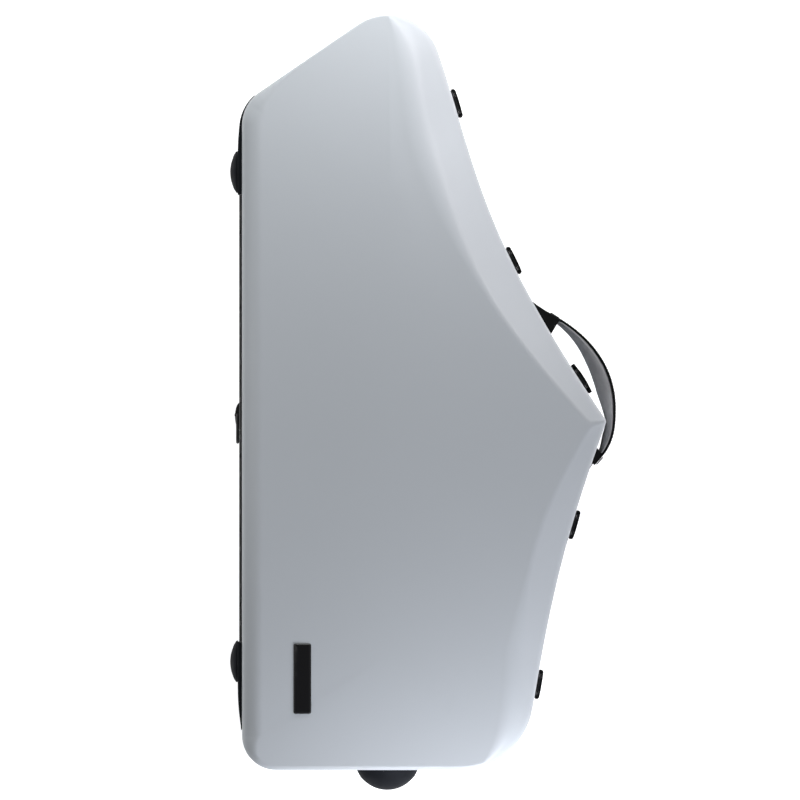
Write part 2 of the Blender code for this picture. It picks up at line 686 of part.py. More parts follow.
def make_guard(name, side, span_shares, taper_at_start, material):
    """A corner guard: a moulded strip on the spine that thins out round the corner."""
    run = spine_run()
    inside = [p for p in run if span_shares[0] * SHELL_LENGTH < p[1] < span_shares[1] * SHELL_LENGTH]
    run_lengths = lengths(run)
    ends = [np.interp(s * SHELL_LENGTH, run[:, 1], run_lengths) for s in span_shares]
    shares = np.linspace(ends[0], ends[1], len(inside) + EDGE_STEPS * 2) / run_lengths[-1]
    seat = at_shares(run, shares)
    along = at_shares(run, shares + PROBE_SHARE) - at_shares(run, shares - PROBE_SHARE)
    along /= np.linalg.norm(along, axis=1)[:, None]
    normals = np.stack([-along[:, 1], along[:, 0]], axis=1)
    places = np.linspace(0, 1, len(shares))
    if not taper_at_start:
        places = 1 - places
    ramp = np.clip(places / GUARD_TAPER_SHARE, 0, 1)
    thick = GUARD_EDGE + (GUARD_THICKNESS - GUARD_EDGE) * ramp * ramp * (3 - 2 * ramp)
    mesh_data = bmesh.new()
    levels = ((GUARD_START, GUARD_CHAMFER / 2), (GUARD_START + GUARD_CHAMFER, 0),
              (GUARD_START + GUARD_HEIGHT - GUARD_CHAMFER, 0), (GUARD_START + GUARD_HEIGHT, GUARD_CHAMFER / 2))
    rings = []
    for height, cut in levels:
        outer = seat + normals * (GAP + np.maximum(thick - cut, GUARD_EDGE / 2))[:, None]
        inner = seat + normals * GAP
        rings.append(place([(p[0], p[1], side * height) for p in np.concatenate([inner, outer[::-1]])]))
    loft(mesh_data, rings)
    return finish(name, mesh_data, material, hinge_point() if side > 0 else None)


def make_dome(name, seat, outward, radius, height, material, origin=None):
    """A domed rubber foot with a short skirt, on a seat that faces outward."""
    outward = Vector(outward)
    side = outward.orthogonal().normalized()
    other = outward.cross(side)
    rise = height - FOOT_SKIRT
    sphere_r = (radius**2 + rise**2) / 2 / rise
    half = math.asin(radius / sphere_r) if rise < radius else math.pi / 2
    rings = [(radius, 0.0)]
    for i in range(DOME_RINGS):
        angle = half * (1 - i / DOME_RINGS)
        rings.append((sphere_r * math.sin(angle), FOOT_SKIRT + rise - sphere_r * (1 - math.cos(angle))))
    mesh_data = bmesh.new()
    rows = []
    for ring_r, lift in rings:
        row = []
        for i in range(DOME_SIDES):
            angle = 2 * math.pi * i / DOME_SIDES
            turned = side * math.cos(angle) + other * math.sin(angle)
            row.append(mesh_data.verts.new(seat + turned * ring_r + outward * lift))
        rows.append(row)
    for low, high in zip(rows, rows[1:]):
        for i in range(DOME_SIDES):
            j = (i + 1) % DOME_SIDES
            mesh_data.faces.new((low[i], low[j], high[j], high[i]))
    tip = mesh_data.verts.new(seat + outward * height)
    for i in range(DOME_SIDES):
        mesh_data.faces.new((rows[-1][i], rows[-1][(i + 1) % DOME_SIDES], tip))
    mesh_data.faces.new(rows[0])
    return finish(name, mesh_data, material, origin)


def make_strap_ring(metal):
    """The ring and its mount on the base's spine wall. The ring turns on its straight bar."""
    v, h = RING_SHARE * SHELL_LENGTH, -RING_RISE
    mount_data = bmesh.new()
    box(mount_data, (-GAP - RING_PLATE_THICKNESS, v - RING_PLATE_LENGTH / 2, h - RING_PLATE_HEIGHT / 2),
        (-GAP, v + RING_PLATE_LENGTH / 2, h + RING_PLATE_HEIGHT / 2))
    mount = finish("strap_ring_mount", mount_data, metal)
    low, high = h - RING_BARREL_LENGTH / 2, h + RING_BARREL_LENGTH / 2
    ends = place([(-RING_AXIS_OUT, v, low), (-RING_AXIS_OUT, v, high)])
    barrel_data = bmesh.new()
    cylinder(barrel_data, ends[0], ends[1], RING_BARREL_R, ROUND_SIDES)
    saddle_data = bmesh.new()
    saddle_half = RING_BARREL_R * RING_SADDLE_SHARE
    box(saddle_data, (-RING_AXIS_OUT, v - saddle_half, low + GAP),
        (-GAP - RING_PLATE_THICKNESS / 2, v + saddle_half, high - GAP))
    bore_data = bmesh.new()
    far = place([(-RING_AXIS_OUT, v, h - RING_BARREL_LENGTH), (-RING_AXIS_OUT, v, h + RING_BARREL_LENGTH)])
    cylinder(bore_data, far[0], far[1], RING_WIRE_R + RING_CLEARANCE)
    unite(mount, [finish("ring_barrel", barrel_data, None), finish("ring_saddle", saddle_data, None)])
    subtract(mount, [finish("ring_bore", bore_data, None)])

    half = RING_WIDTH / 2
    corners = [np.array(c) for c in ((0.0, -half), (0.0, half), (-RING_REACH, half), (-RING_REACH, -half))]
    small = RING_WIRE_R * 2
    path = np.concatenate([
        round_corner(corners[3], corners[0], corners[1], small, EDGE_STEPS - 1),
        round_corner(corners[0], corners[1], corners[2], small, EDGE_STEPS - 1),
        round_corner(corners[1], corners[2], corners[3], RING_CORNER_R, EDGE_STEPS),
        round_corner(corners[2], corners[3], corners[0], RING_CORNER_R, EDGE_STEPS)])
    tangents = np.roll(path, -1, axis=0) - np.roll(path, 1, axis=0)
    rings = []
    for point, tangent in zip(path, tangents):
        across = unit(np.array((tangent[1], -tangent[0])))
        ring = []
        for i in range(SMALL_SIDES):
            angle = 2 * math.pi * i / SMALL_SIDES
            flat = point + across * RING_WIRE_R * math.cos(angle)
            ring.append((-RING_AXIS_OUT + RING_WIRE_R * math.sin(angle), v + flat[0], h + flat[1]))
        rings.append(place(ring))
    ring_data = bmesh.new()
    loft(ring_data, rings, closed=True)
    finish("strap_ring", ring_data, metal, place([(-RING_AXIS_OUT, v, h)])[0])


def seat_points(seat, points):
    """Points along the edge, out of the wall and above the parting plane, as row-frame points."""
    middle, along, outward = seat
    placed = []
    for a, n, h in points:
        flat = middle + along * a + outward * n
        placed.append((flat[0], flat[1], h))
    return place(placed)


def seat_block(mesh_data, seat, low, high):
    """A block on a seat, between two corners given along the edge, out of the wall and in height."""
    rings = []
    for h in (low[2], high[2]):
        corners = [(low[0], low[1], h), (high[0], low[1], h), (high[0], high[1], h), (low[0], high[1], h)]
        rings.append(seat_points(seat, corners))
    loft(mesh_data, rings)


def seat_bar(mesh_data, seat, start, end, radius):
    """A round bar along the edge, on a seat."""
    points = seat_points(seat, (start, end))
    cylinder(mesh_data, points[0], points[1], radius)


def seat_profile(mesh_data, seat, start, end, profile):
    """An outline drawn out of the wall and in height, carried along the edge."""
    loft(mesh_data, [seat_points(seat, [(a, n, h) for n, h in profile]) for a in (start, end)])


def lever_plan(length, crowned):
    """The lever seen from above: a shallow channel with rounded corners, bowed on the centre latch."""
    inner = LATCH_AXIS_OUT + AXLE_R + AXLE_CLEARANCE + EAR_WALL + GAP
    outer = inner + LEVER_SKIN
    half = length / 2
    inside = half - CHEEK_THICKNESS
    channel = [(-half, CHEEK_START), (-inside, CHEEK_START), (-inside, inner), (inside, inner),
               (inside, CHEEK_START), (half, CHEEK_START)]
    if crowned:
        edge, rise = inner + LEVER_SKIN / 2, LEVER_SKIN / 2 + LEVER_CROWN
        return channel + [(-half * a, edge + rise * (1 - a * a)) for a in LEVER_BOW_SHARES]
    corners = [np.array(c) for c in ((half, CHEEK_START), (half, outer), (-half, outer), (-half, CHEEK_START))]
    far = round_corner(corners[0], corners[1], corners[2], LEVER_CORNER_R, EDGE_STEPS)
    near = round_corner(corners[1], corners[2], corners[3], LEVER_CORNER_R, EDGE_STEPS)
    return channel + [tuple(p) for p in far] + [tuple(p) for p in near]


def make_latch(name, v, plastic, metal):
    """A draw latch: plate, lever and claw on the base, and its keeper on the lid."""
    seat = frame_at(v)
    centre = name == CENTRE_LATCH
    length = CENTRE_LATCH_LENGTH if centre else LATCH_LENGTH
    axis_h = -LATCH_AXIS_DROP
    claw_h = axis_h - CLAW_PIVOT_DROP
    lug_in = CLAW_WIDTH / 2 + GAP
    lug_out = lug_in + LUG_THICKNESS
    ear_in = lug_out + GAP
    ear_out = ear_in + EAR_THICKNESS
    plate_out = GAP + LATCH_PLATE
    hole_r = AXLE_R + AXLE_CLEARANCE
    ear_r = hole_r + EAR_WALL
    low_end = axis_h - LEVER_REACH

    plate_data = bmesh.new()
    plate_half = ear_out + GAP
    seat_block(plate_data, seat, (-plate_half, GAP, low_end + LEVER_SKIN),
               (plate_half, plate_out, -LATCH_PLATE_TOP))
    plate = finish(name + "_plate", plate_data, metal)
    ears_data = bmesh.new()
    root = plate_out - LATCH_PLATE / 2
    profile = [(root, axis_h - EAR_FOOT)]
    for i in range(EDGE_STEPS * 2 + 1):
        angle = math.pi * (i / (EDGE_STEPS * 2) - 1 / 2)
        profile.append((LATCH_AXIS_OUT + ear_r * math.cos(angle), axis_h + ear_r * math.sin(angle)))
    profile.append((root, axis_h + ear_r))
    for sign in (-1, 1):
        seat_profile(ears_data, seat, *sorted((sign * ear_in, sign * ear_out)), profile)
    hole_data = bmesh.new()
    seat_bar(hole_data, seat, (-length, LATCH_AXIS_OUT, axis_h), (length, LATCH_AXIS_OUT, axis_h), hole_r)
    unite(plate, [finish(name + "_ears", ears_data, None)])
    subtract(plate, [finish(name + "_ear_holes", hole_data, None)])

    pivot = seat_points(seat, [(0, LATCH_AXIS_OUT, axis_h)])[0]
    cover_top = claw_h - COVER_DROP
    lever_data = bmesh.new()
    outline_plan = lever_plan(length, centre)
    ends = (low_end, -LEVER_TOP_DROP)
    loft(lever_data, [seat_points(seat, [(a, n, h) for a, n in outline_plan]) for h in ends])
    lever = finish(name + "_lever", lever_data, plastic, pivot)
    cover_in = LATCH_AXIS_OUT + ear_r + GAP
    arm_out = cover_in + LEVER_SKIN / 2
    lug = [(LATCH_AXIS_OUT - AXLE_R, cover_top - COVER_DROP), (arm_out, cover_top - COVER_DROP),
           (arm_out, claw_h), (LATCH_AXIS_OUT + AXLE_R, axis_h + AXLE_R / 2), (LATCH_AXIS_OUT, axis_h + AXLE_R),
           (LATCH_AXIS_OUT - AXLE_R, axis_h)]
    lugs_data, axles_data = bmesh.new(), bmesh.new()
    for sign in (-1, 1):
        seat_profile(lugs_data, seat, *sorted((sign * lug_in, sign * lug_out)), lug)
        seat_bar(axles_data, seat, (sign * (lug_in + GAP), LATCH_AXIS_OUT, axis_h),
                 (sign * (ear_out - GAP), LATCH_AXIS_OUT, axis_h), AXLE_R - AXLE_CLEARANCE)
    pin_hole_data = bmesh.new()
    seat_bar(pin_hole_data, seat, (-ear_in, LATCH_AXIS_OUT, claw_h), (ear_in, LATCH_AXIS_OUT, claw_h),
             CLAW_PIN_R + AXLE_CLEARANCE)
    slot_half = CLAW_WIDTH / 2 + CLAW_SLOT_CLEARANCE
    slot_data = bmesh.new()
    seat_block(slot_data, seat, (-slot_half, LATCH_AXIS_OUT, cover_top), (slot_half, length, -cover_top))
    subtract(lever, [finish(name + "_claw_slot", slot_data, None)])
    unite(lever, [finish(name + "_lugs", lugs_data, None), finish(name + "_axles", axles_data, None)])
    subtract(lever, [finish(name + "_pin_holes", pin_hole_data, None)])

    claw_pivot = seat_points(seat, [(0, LATCH_AXIS_OUT, claw_h)])[0]
    half = CLAW_WIDTH / 2
    claw_in = LATCH_AXIS_OUT
    lip_out = plate_out + KEEPER_LIP_OUT
    tooth_h = KEEPER_LIP_START + KEEPER_LIP_HEIGHT + GAP
    claw_profile = [(claw_in, claw_h - AXLE_R), (claw_in + CLAW_THICKNESS, claw_h - AXLE_R),
                    (claw_in + CLAW_THICKNESS, tooth_h + CLAW_TOOTH), (lip_out + GAP, tooth_h + CLAW_TOOTH),
                    (lip_out + GAP, tooth_h), (claw_in, tooth_h)]
    claw_data = bmesh.new()
    seat_profile(claw_data, seat, -half, half, claw_profile)
    claw = finish(name + "_claw", claw_data, metal, claw_pivot)
    pin_data = bmesh.new()
    pin_half = lug_out - GAP
    ends = [(a, LATCH_AXIS_OUT, claw_h) for a in (-pin_half, pin_half)]
    seat_bar(pin_data, seat, *ends, CLAW_PIN_R)
    unite(claw, [finish(name + "_claw_pin", pin_data, None)])

    keeper_data = bmesh.new()
    lip_top = KEEPER_LIP_START + KEEPER_LIP_HEIGHT
    keeper_profile = [(GAP, KEEPER_START), (plate_out, KEEPER_START), (plate_out, KEEPER_LIP_START),
                      (lip_out, KEEPER_LIP_START + KEEPER_LIP_OUT), (lip_out, lip_top), (plate_out, lip_top),
                      (plate_out, KEEPER_START + KEEPER_HEIGHT), (GAP, KEEPER_START + KEEPER_HEIGHT)]
    seat_profile(keeper_data, seat, -plate_half, plate_half, keeper_profile)
    finish(name + "_keeper", keeper_data, metal, hinge_point())


def make_strap(material):
    """The flat outer strap of the handle."""
    outer = strap_points(STRAP_SHARES, np.zeros(STRAP_POINTS))
    inner = strap_points(STRAP_SHARES, np.full(STRAP_POINTS, STRAP_THICKNESS))
    half = STRAP_WIDTH / 2
    rings = []
    for a, b in zip(outer, inner):
        rings.append(place([(*a, -HANDLE_DROP - half), (*a, -HANDLE_DROP + half),
                            (*b, -HANDLE_DROP + half), (*b, -HANDLE_DROP - half)]))
    mesh_data = bmesh.new()
    loft(mesh_data, rings)
    return finish("handle_strap", mesh_data, material)


def make_grip(material):
    """The padded grip under the strap, thickest in its upper half."""
    places = np.linspace(0, 1, GRIP_POINTS)
    table = np.array(GRIP_THICKNESS_SHARES)
    thick = GRIP_THICKNESS * np.interp(places, table[:, 0], table[:, 1])
    shares = GRIP_SPAN_SHARES[0] + (GRIP_SPAN_SHARES[1] - GRIP_SPAN_SHARES[0]) * places
    top = STRAP_THICKNESS + GAP
    half = HANDLE_WIDTH / 2
    rings = []
    for share, depth in zip(shares, thick):
        section = ((top, half - GRIP_ROUND), (top + GRIP_ROUND, half), (top + depth - GRIP_ROUND, half),
                   (top + depth, half - GRIP_ROUND), (top + depth, GRIP_ROUND - half),
                   (top + depth - GRIP_ROUND, -half), (top + GRIP_ROUND, -half), (top, GRIP_ROUND - half))
        ring = []
        for inward, across in section:
            point = strap_points([share], [inward])[0]
            ring.append((point[0], point[1], -HANDLE_DROP + across))
        rings.append(place(ring))
    mesh_data = bmesh.new()
    loft(mesh_data, rings)
    return finish("handle_grip", mesh_data, material)


def make_handle_mount(name, wall_shares, span_shares, material):
    """A wedge that fills the room between the wall and the strap's end, with a nose before the upper end."""
    heights = np.linspace(wall_shares[0], wall_shares[1], EDGE_STEPS * 2) * SHELL_LENGTH
    wall = [wall_point(v, GAP) for v in heights]
    spans = np.linspace(span_shares[0], span_shares[1], EDGE_STEPS)
    seat = list(strap_points(spans, np.full(EDGE_STEPS, STRAP_THICKNESS + GAP)))
    if span_shares[0] == 0:
        first, second = strap_points([0, spans[1]], [0, 0])
        back = unit(first - second) * 2 * GAP
        seat = [first + back, seat[0] + back] + seat[1:]
    half = MOUNT_WIDTH / 2
    mesh_data = bmesh.new()
    prism(mesh_data, wall + seat[::-1], -HANDLE_DROP - half, -HANDLE_DROP + half)
    return finish(name, mesh_data, material)


def make_strap_screw(name, share, material):
    """A flat screw head that holds the strap's end to its mount."""
    foot, head = strap_points([share, share], [-GAP, -GAP - STRAP_SCREW_HEIGHT])
    points = place([(*foot, -HANDLE_DROP), (*head, -HANDLE_DROP)])
    mesh_data = bmesh.new()
    cylinder(mesh_data, points[0], points[1], STRAP_SCREW_R, ROUND_SIDES)
    return finish(name, mesh_data, material)


def make_badge(material):
    """A small domed plate on the lid's face, with nothing on it."""
    middle = plan_point(BADGE_SHARE)
    half_u, half_v = BADGE_WIDTH / 2, BADGE_LENGTH / 2
    signs = ((-1, -1), (1, -1), (1, 1), (-1, 1))
    corners = [middle + np.array((a * half_u, b * half_v)) for a, b in signs]
    arcs = []
    for i, corner in enumerate(corners):
        after = corners[(i + 1) % len(corners)]
        arcs.append(round_corner(corners[i - 1], corner, after, BADGE_CORNER_R, EDGE_STEPS - 1))
    plan = np.concatenate(arcs)
    pulled = middle + (plan - middle) * (1 - BADGE_THICKNESS / BADGE_WIDTH)
    low, high = LID_DEPTH + GAP, LID_DEPTH + GAP + BADGE_THICKNESS
    mesh_data = bmesh.new()
    loft(mesh_data, [place([(*p, low) for p in plan]), place([(*p, high - BADGE_THICKNESS / 2) for p in plan]),
                     place([(*p, high) for p in pulled])])
    return finish("badge_plate", mesh_data, material, hinge_point())


def build():
    shell = principled("satin_shell", SATIN_WHITE, 0.42)
    plastic = principled("black_plastic", BLACK_PLASTIC, 0.45)
    rubber = principled("slate_rubber", SLATE_RUBBER, 0.6)
    metal = principled("black_metal", BLACK_METAL, 0.35, 0.7)
    steel = principled("steel", STEEL, 0.3, 1.0)
    pad = principled("grey_pad", GREY_PAD, 0.7)
    plush = principled("dark_plush", DARK_PLUSH, 0.9)
    gloss = principled("gloss_plate", BLACK_PLASTIC, 0.12)

    make_shell("base_shell", -1, BASE_DEPTH, shell)
    make_shell("lid_shell", 1, LID_DEPTH, shell)
    make_rim_ring("rim_tongue", -1, -TONGUE_DEPTH, TONGUE_RISE, plastic)
    make_rim_ring("rim_seal", 1, TONGUE_RISE + GAP, TONGUE_RISE + GAP + SEAL_HEIGHT, rubber)
    make_liner("base_liner", -1, BASE_DEPTH, LINER_GAP, TONGUE_DEPTH + GAP, plush)
    make_liner("lid_liner", 1, LID_DEPTH, LID_LINER_GAP, TONGUE_RISE + SEAL_HEIGHT + 2 * GAP, plush)

    make_hinge_leaf("hinge_leaf_base", -1, metal)
    make_hinge_leaf("hinge_leaf_lid", 1, metal)
    make_hinge_pin(steel)

    for half, side in (("base", -1), ("lid", 1)):
        origin = hinge_point() if side > 0 else None
        make_guard("lower_guard_" + half, side, LOWER_GUARD_SHARES, True, rubber)
        make_guard("upper_guard_" + half, side, UPPER_GUARD_SHARES, False, rubber)
        rise = side * (GUARD_START + GUARD_HEIGHT / 2)
        for where, share in zip(("lower", "upper"), SPINE_FOOT_SHARES):
            seat = place([(-GAP - GUARD_THICKNESS - GAP, share * SHELL_LENGTH, rise)])[0]
            make_dome(where + "_spine_foot_" + half, seat, (-1, 0, 0), SPINE_FOOT_R, SPINE_FOOT_HEIGHT,
                      rubber, origin)
        seat = place([(BOTTOM_FOOT_SHARE * SHELL_WIDTH, -GAP, side * BOTTOM_FOOT_RISE)])[0]
        make_dome("bottom_foot_" + half, seat, (0, -1, 0), BOTTOM_FOOT_R, BOTTOM_FOOT_HEIGHT, rubber, origin)

    make_strap_ring(metal)
    for name, share in LATCH_SHARES.items():
        make_latch(name, share * SHELL_LENGTH, plastic, metal)
    make_strap(plastic)
    make_grip(pad)
    make_handle_mount("handle_mount_upper", UPPER_MOUNT_SHARES, UPPER_MOUNT_SPAN_SHARES, plastic)
    make_handle_mount("handle_mount_lower", LOWER_MOUNT_SHARES, LOWER_MOUNT_SPAN_SHARES, plastic)
    for name, share in STRAP_SCREW_SHARES.items():
        make_strap_screw(name, share, steel)
    make_badge(gloss)


build()
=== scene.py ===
"""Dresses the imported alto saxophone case. Metres, +Z up; it lies on its back and the camera looks down on the lid."""
import math

import bmesh
import bpy
import numpy as np
from mathutils import Matrix, Vector


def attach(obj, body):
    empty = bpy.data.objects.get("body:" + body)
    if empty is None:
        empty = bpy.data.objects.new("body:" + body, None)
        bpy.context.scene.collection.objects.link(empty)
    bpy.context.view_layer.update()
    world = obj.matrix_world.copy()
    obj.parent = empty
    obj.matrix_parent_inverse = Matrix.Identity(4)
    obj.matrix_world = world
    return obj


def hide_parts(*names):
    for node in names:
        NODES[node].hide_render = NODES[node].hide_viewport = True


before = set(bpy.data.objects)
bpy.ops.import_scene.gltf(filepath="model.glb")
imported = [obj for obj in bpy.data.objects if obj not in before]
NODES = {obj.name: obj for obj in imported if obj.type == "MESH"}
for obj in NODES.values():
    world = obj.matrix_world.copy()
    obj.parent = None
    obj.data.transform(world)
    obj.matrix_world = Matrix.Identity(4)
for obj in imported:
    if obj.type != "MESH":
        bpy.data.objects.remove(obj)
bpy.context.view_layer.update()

# The stage.
# The photograph is taken from far off, straight down on the lid, with the spine on the left and the foot below.
# A pale sweep and six soft lamps stand in for the studio: past the top and the foot, beside the bell, and two by the
# spine, one of them higher up.
def linked(name, data):
    """A new object in the scene for a camera, a lamp, a mesh or a curve."""
    obj = bpy.data.objects.new(name, data)
    bpy.context.scene.collection.objects.link(obj)
    return obj


def lamp(name, place, target, size, size_y, watts, colour=(1, 1, 1)):
    """A rectangular soft lamp at a place, turned to its target."""
    data = bpy.data.lights.new(name, "AREA")
    data.shape, data.size, data.size_y, data.energy, data.color = "RECTANGLE", size, size_y, watts, colour
    light = linked(name, data)
    light.location = place
    light.rotation_euler = (Vector(target) - Vector(place)).to_track_quat("-Z", "Y").to_euler()


def node(tree, kind, values=None, **settings):
    """A shader node with its settings, and with its sockets linked or filled in."""
    made = tree.nodes.new("ShaderNode" + kind)
    for key, value in settings.items():
        setattr(made, key, value)
    for key, value in (values or {}).items():
        if isinstance(value, bpy.types.NodeSocket):
            tree.links.new(value, made.inputs[key])
        else:
            made.inputs[key].default_value = value
    return made


def seen_rays(tree):
    """1 for rays from the camera, reflections and glass, 0 for the light that reaches the object."""
    path = node(tree, "LightPath")
    total = path.outputs["Is Camera Ray"]
    for ray in ("Is Glossy Ray", "Is Transmission Ray"):
        total = node(tree, "Math", {0: total, 1: path.outputs[ray]}, operation="MAXIMUM").outputs[0]
    return total


camera_data = bpy.data.cameras.new("camera")
camera_data.lens, camera_data.sensor_width, camera_data.clip_end = 1500, 36, 60
camera = linked("camera", camera_data)
camera.location = (-0.0197, 0.0024, 28.433)
bpy.context.scene.camera = camera
bpy.context.scene.view_settings.view_transform = "Standard"

FOOT_COLOUR = (0.98, 0.99, 1.05)
lamp("top_lamp", (0.0, 0.59, 0.41), (0.0, 0.25, 0.18), 0.5, 0.12, 2.22)
lamp("foot_lamp", (0.10, -0.55, 0.34), (0.05, -0.28, 0.18), 0.3, 0.1, 1.30, FOOT_COLOUR)
lamp("foot_side_lamp", (0.34, -0.60, 0.36), (0.05, -0.28, 0.18), 0.3, 0.1, 1.24, FOOT_COLOUR)
lamp("bell_lamp", (0.40, 0.45, 0.32), (0.06, 0.22, 0.15), 0.3, 0.1, 1.03, (1.04, 1.0, 1.03))
lamp("spine_lamp", (-0.70, 0.02, 0.55), (-0.1, 0.0, 0.15), 0.3, 0.6, 0.95)
lamp("high_lamp", (-0.45, 0.0, 0.95), (-0.05, 0.0, 0.15), 0.4, 0.4, 0.40)

world = bpy.data.worlds.new("studio")
bpy.context.scene.world = world
world.use_nodes = True
tree = world.node_tree
direction = node(tree, "SeparateXYZ", {0: node(tree, "TexCoord").outputs["Generated"]})
ceiling = node(tree, "MapRange", {"Value": direction.outputs["Z"], "From Min": 0.25, "From Max": 0.85,
                                  "To Min": 1.0, "To Max": 0.22})
shade = node(tree, "Mix", {"Factor": seen_rays(tree), "A": (0.15, 0.152, 0.156, 1), "B": ceiling.outputs["Result"]},
             data_type="RGBA")
tree.links.new(shade.outputs["Result"], tree.nodes["Background"].inputs["Color"])

FLOOR_HALF, FLOOR_Z = 9, -0.0004
floor_mesh = bpy.data.meshes.new("floor")
floor_mesh.from_pydata([(x * FLOOR_HALF, y * FLOOR_HALF, FLOOR_Z) for x, y in ((-1, -1), (1, -1), (1, 1), (-1, 1))],
                       [], [(0, 1, 2, 3)])
floor = linked("floor", floor_mesh)
floor_material = bpy.data.materials.new("pale_floor")
floor_material.use_nodes = True
tree = floor_material.node_tree
paper = tree.nodes["Principled BSDF"]
paper.inputs["Base Color"].default_value = (0.86, 0.86, 0.86, 1)
paper.inputs["Roughness"].default_value = 0.9
paper.inputs["Emission Color"].default_value = (1, 1, 1, 1)
lift = node(tree, "Math", {0: seen_rays(tree), 1: 0.78}, operation="MULTIPLY")
tree.links.new(lift.outputs[0], paper.inputs["Emission Strength"])
floor_mesh.materials.append(floor_material)

# Lid shell.
# A thin moulded half in satin pale grey. Its nearly flat face meets the bell side in a soft crease and a broad bevel,
# and rounds over into the wall along the spine. The lip that meets the other half is slightly rounded.
CASE_WIDTH, CASE_LENGTH = 0.3085, 0.6406  # to the bell point, and without the bottom foot
CENTRE = np.array((0.1537004, 0.3112997))  # the point of the plan that the frame puts at its origin
PARTING = 0.100  # height of the plane where the two halves meet
POINT_ANGLE = 61.5  # half the angle between the two bell sides at the bell point, in degrees


def unit(value):
    """A value held between 0 and 1."""
    return min(max(value, 0), 1)


def ease(t):
    """A soft step from 0 to 1."""
    return t**2 * (3 - 2 * t)


def bez(a, b, c, d, n):
    """n points on a cubic curve from a to d, with the handles b and c."""
    t = np.linspace(0, 1, n)[:, None]
    return (1 - t)**3 * a + 3 * (1 - t)**2 * t * b + 3 * (1 - t) * t**2 * c + t**3 * d


def arc(before, corner, after, radius, n):
    """The round that replaces a corner between two straight runs."""
    a, b = before - corner, after - corner
    a, b = a / np.linalg.norm(a), b / np.linalg.norm(b)
    half = math.acos(float(a @ b)) / 2
    centre = corner + (a + b) / np.linalg.norm(a + b) * radius / math.sin(half)
    first, last = corner + a * radius / math.tan(half) - centre, corner + b * radius / math.tan(half) - centre
    sweep = math.atan2(first[0] * last[1] - first[1] * last[0], float(first @ last))
    angles = np.linspace(0, sweep, n)[:, None]
    return centre + np.cos(angles) * first + np.sin(angles) * np.array((-first[1], first[0]))


def rounded(corners, radii, n):
    """A closed loop through corners, each rounded with its own radius."""
    count = len(corners)
    return np.concatenate([arc(corners[i - 1], corners[i], corners[(i + 1) % count], radius, n)
                           for i, radius in enumerate(radii)])


def run_of(path):
    """The distance run along a path at each of its points."""
    return np.concatenate(([0], np.cumsum(np.linalg.norm(np.diff(path, axis=0), axis=1))))


def resampled(path, start, end, n):
    """n even points along a path, without its first and last stretch."""
    run = run_of(path)
    wanted = np.linspace(start, run[-1] - end, n)
    return np.stack([np.interp(wanted, run, path[:, i]) for i in range(path.shape[1])], axis=1)


def share(u, v):
    """A plan point from shares of the case's width and length."""
    return np.array((u * CASE_WIDTH, v * CASE_LENGTH))


def inward(loop):
    """The direction into an anticlockwise loop at each of its points."""
    way = np.roll(loop, -1, axis=0) - np.roll(loop, 1, axis=0)
    way /= np.linalg.norm(way, axis=1)[:, None]
    return np.stack([-way[:, 1], way[:, 0]], axis=1)


def bend(a, corner, b, n=5):
    """The points between a and b on the soft curve that cuts a corner."""
    t = np.linspace(0, 1, n + 2)[1:-1, None]
    return (1 - t)**2 * a + 2 * (1 - t) * t * corner + t**2 * b


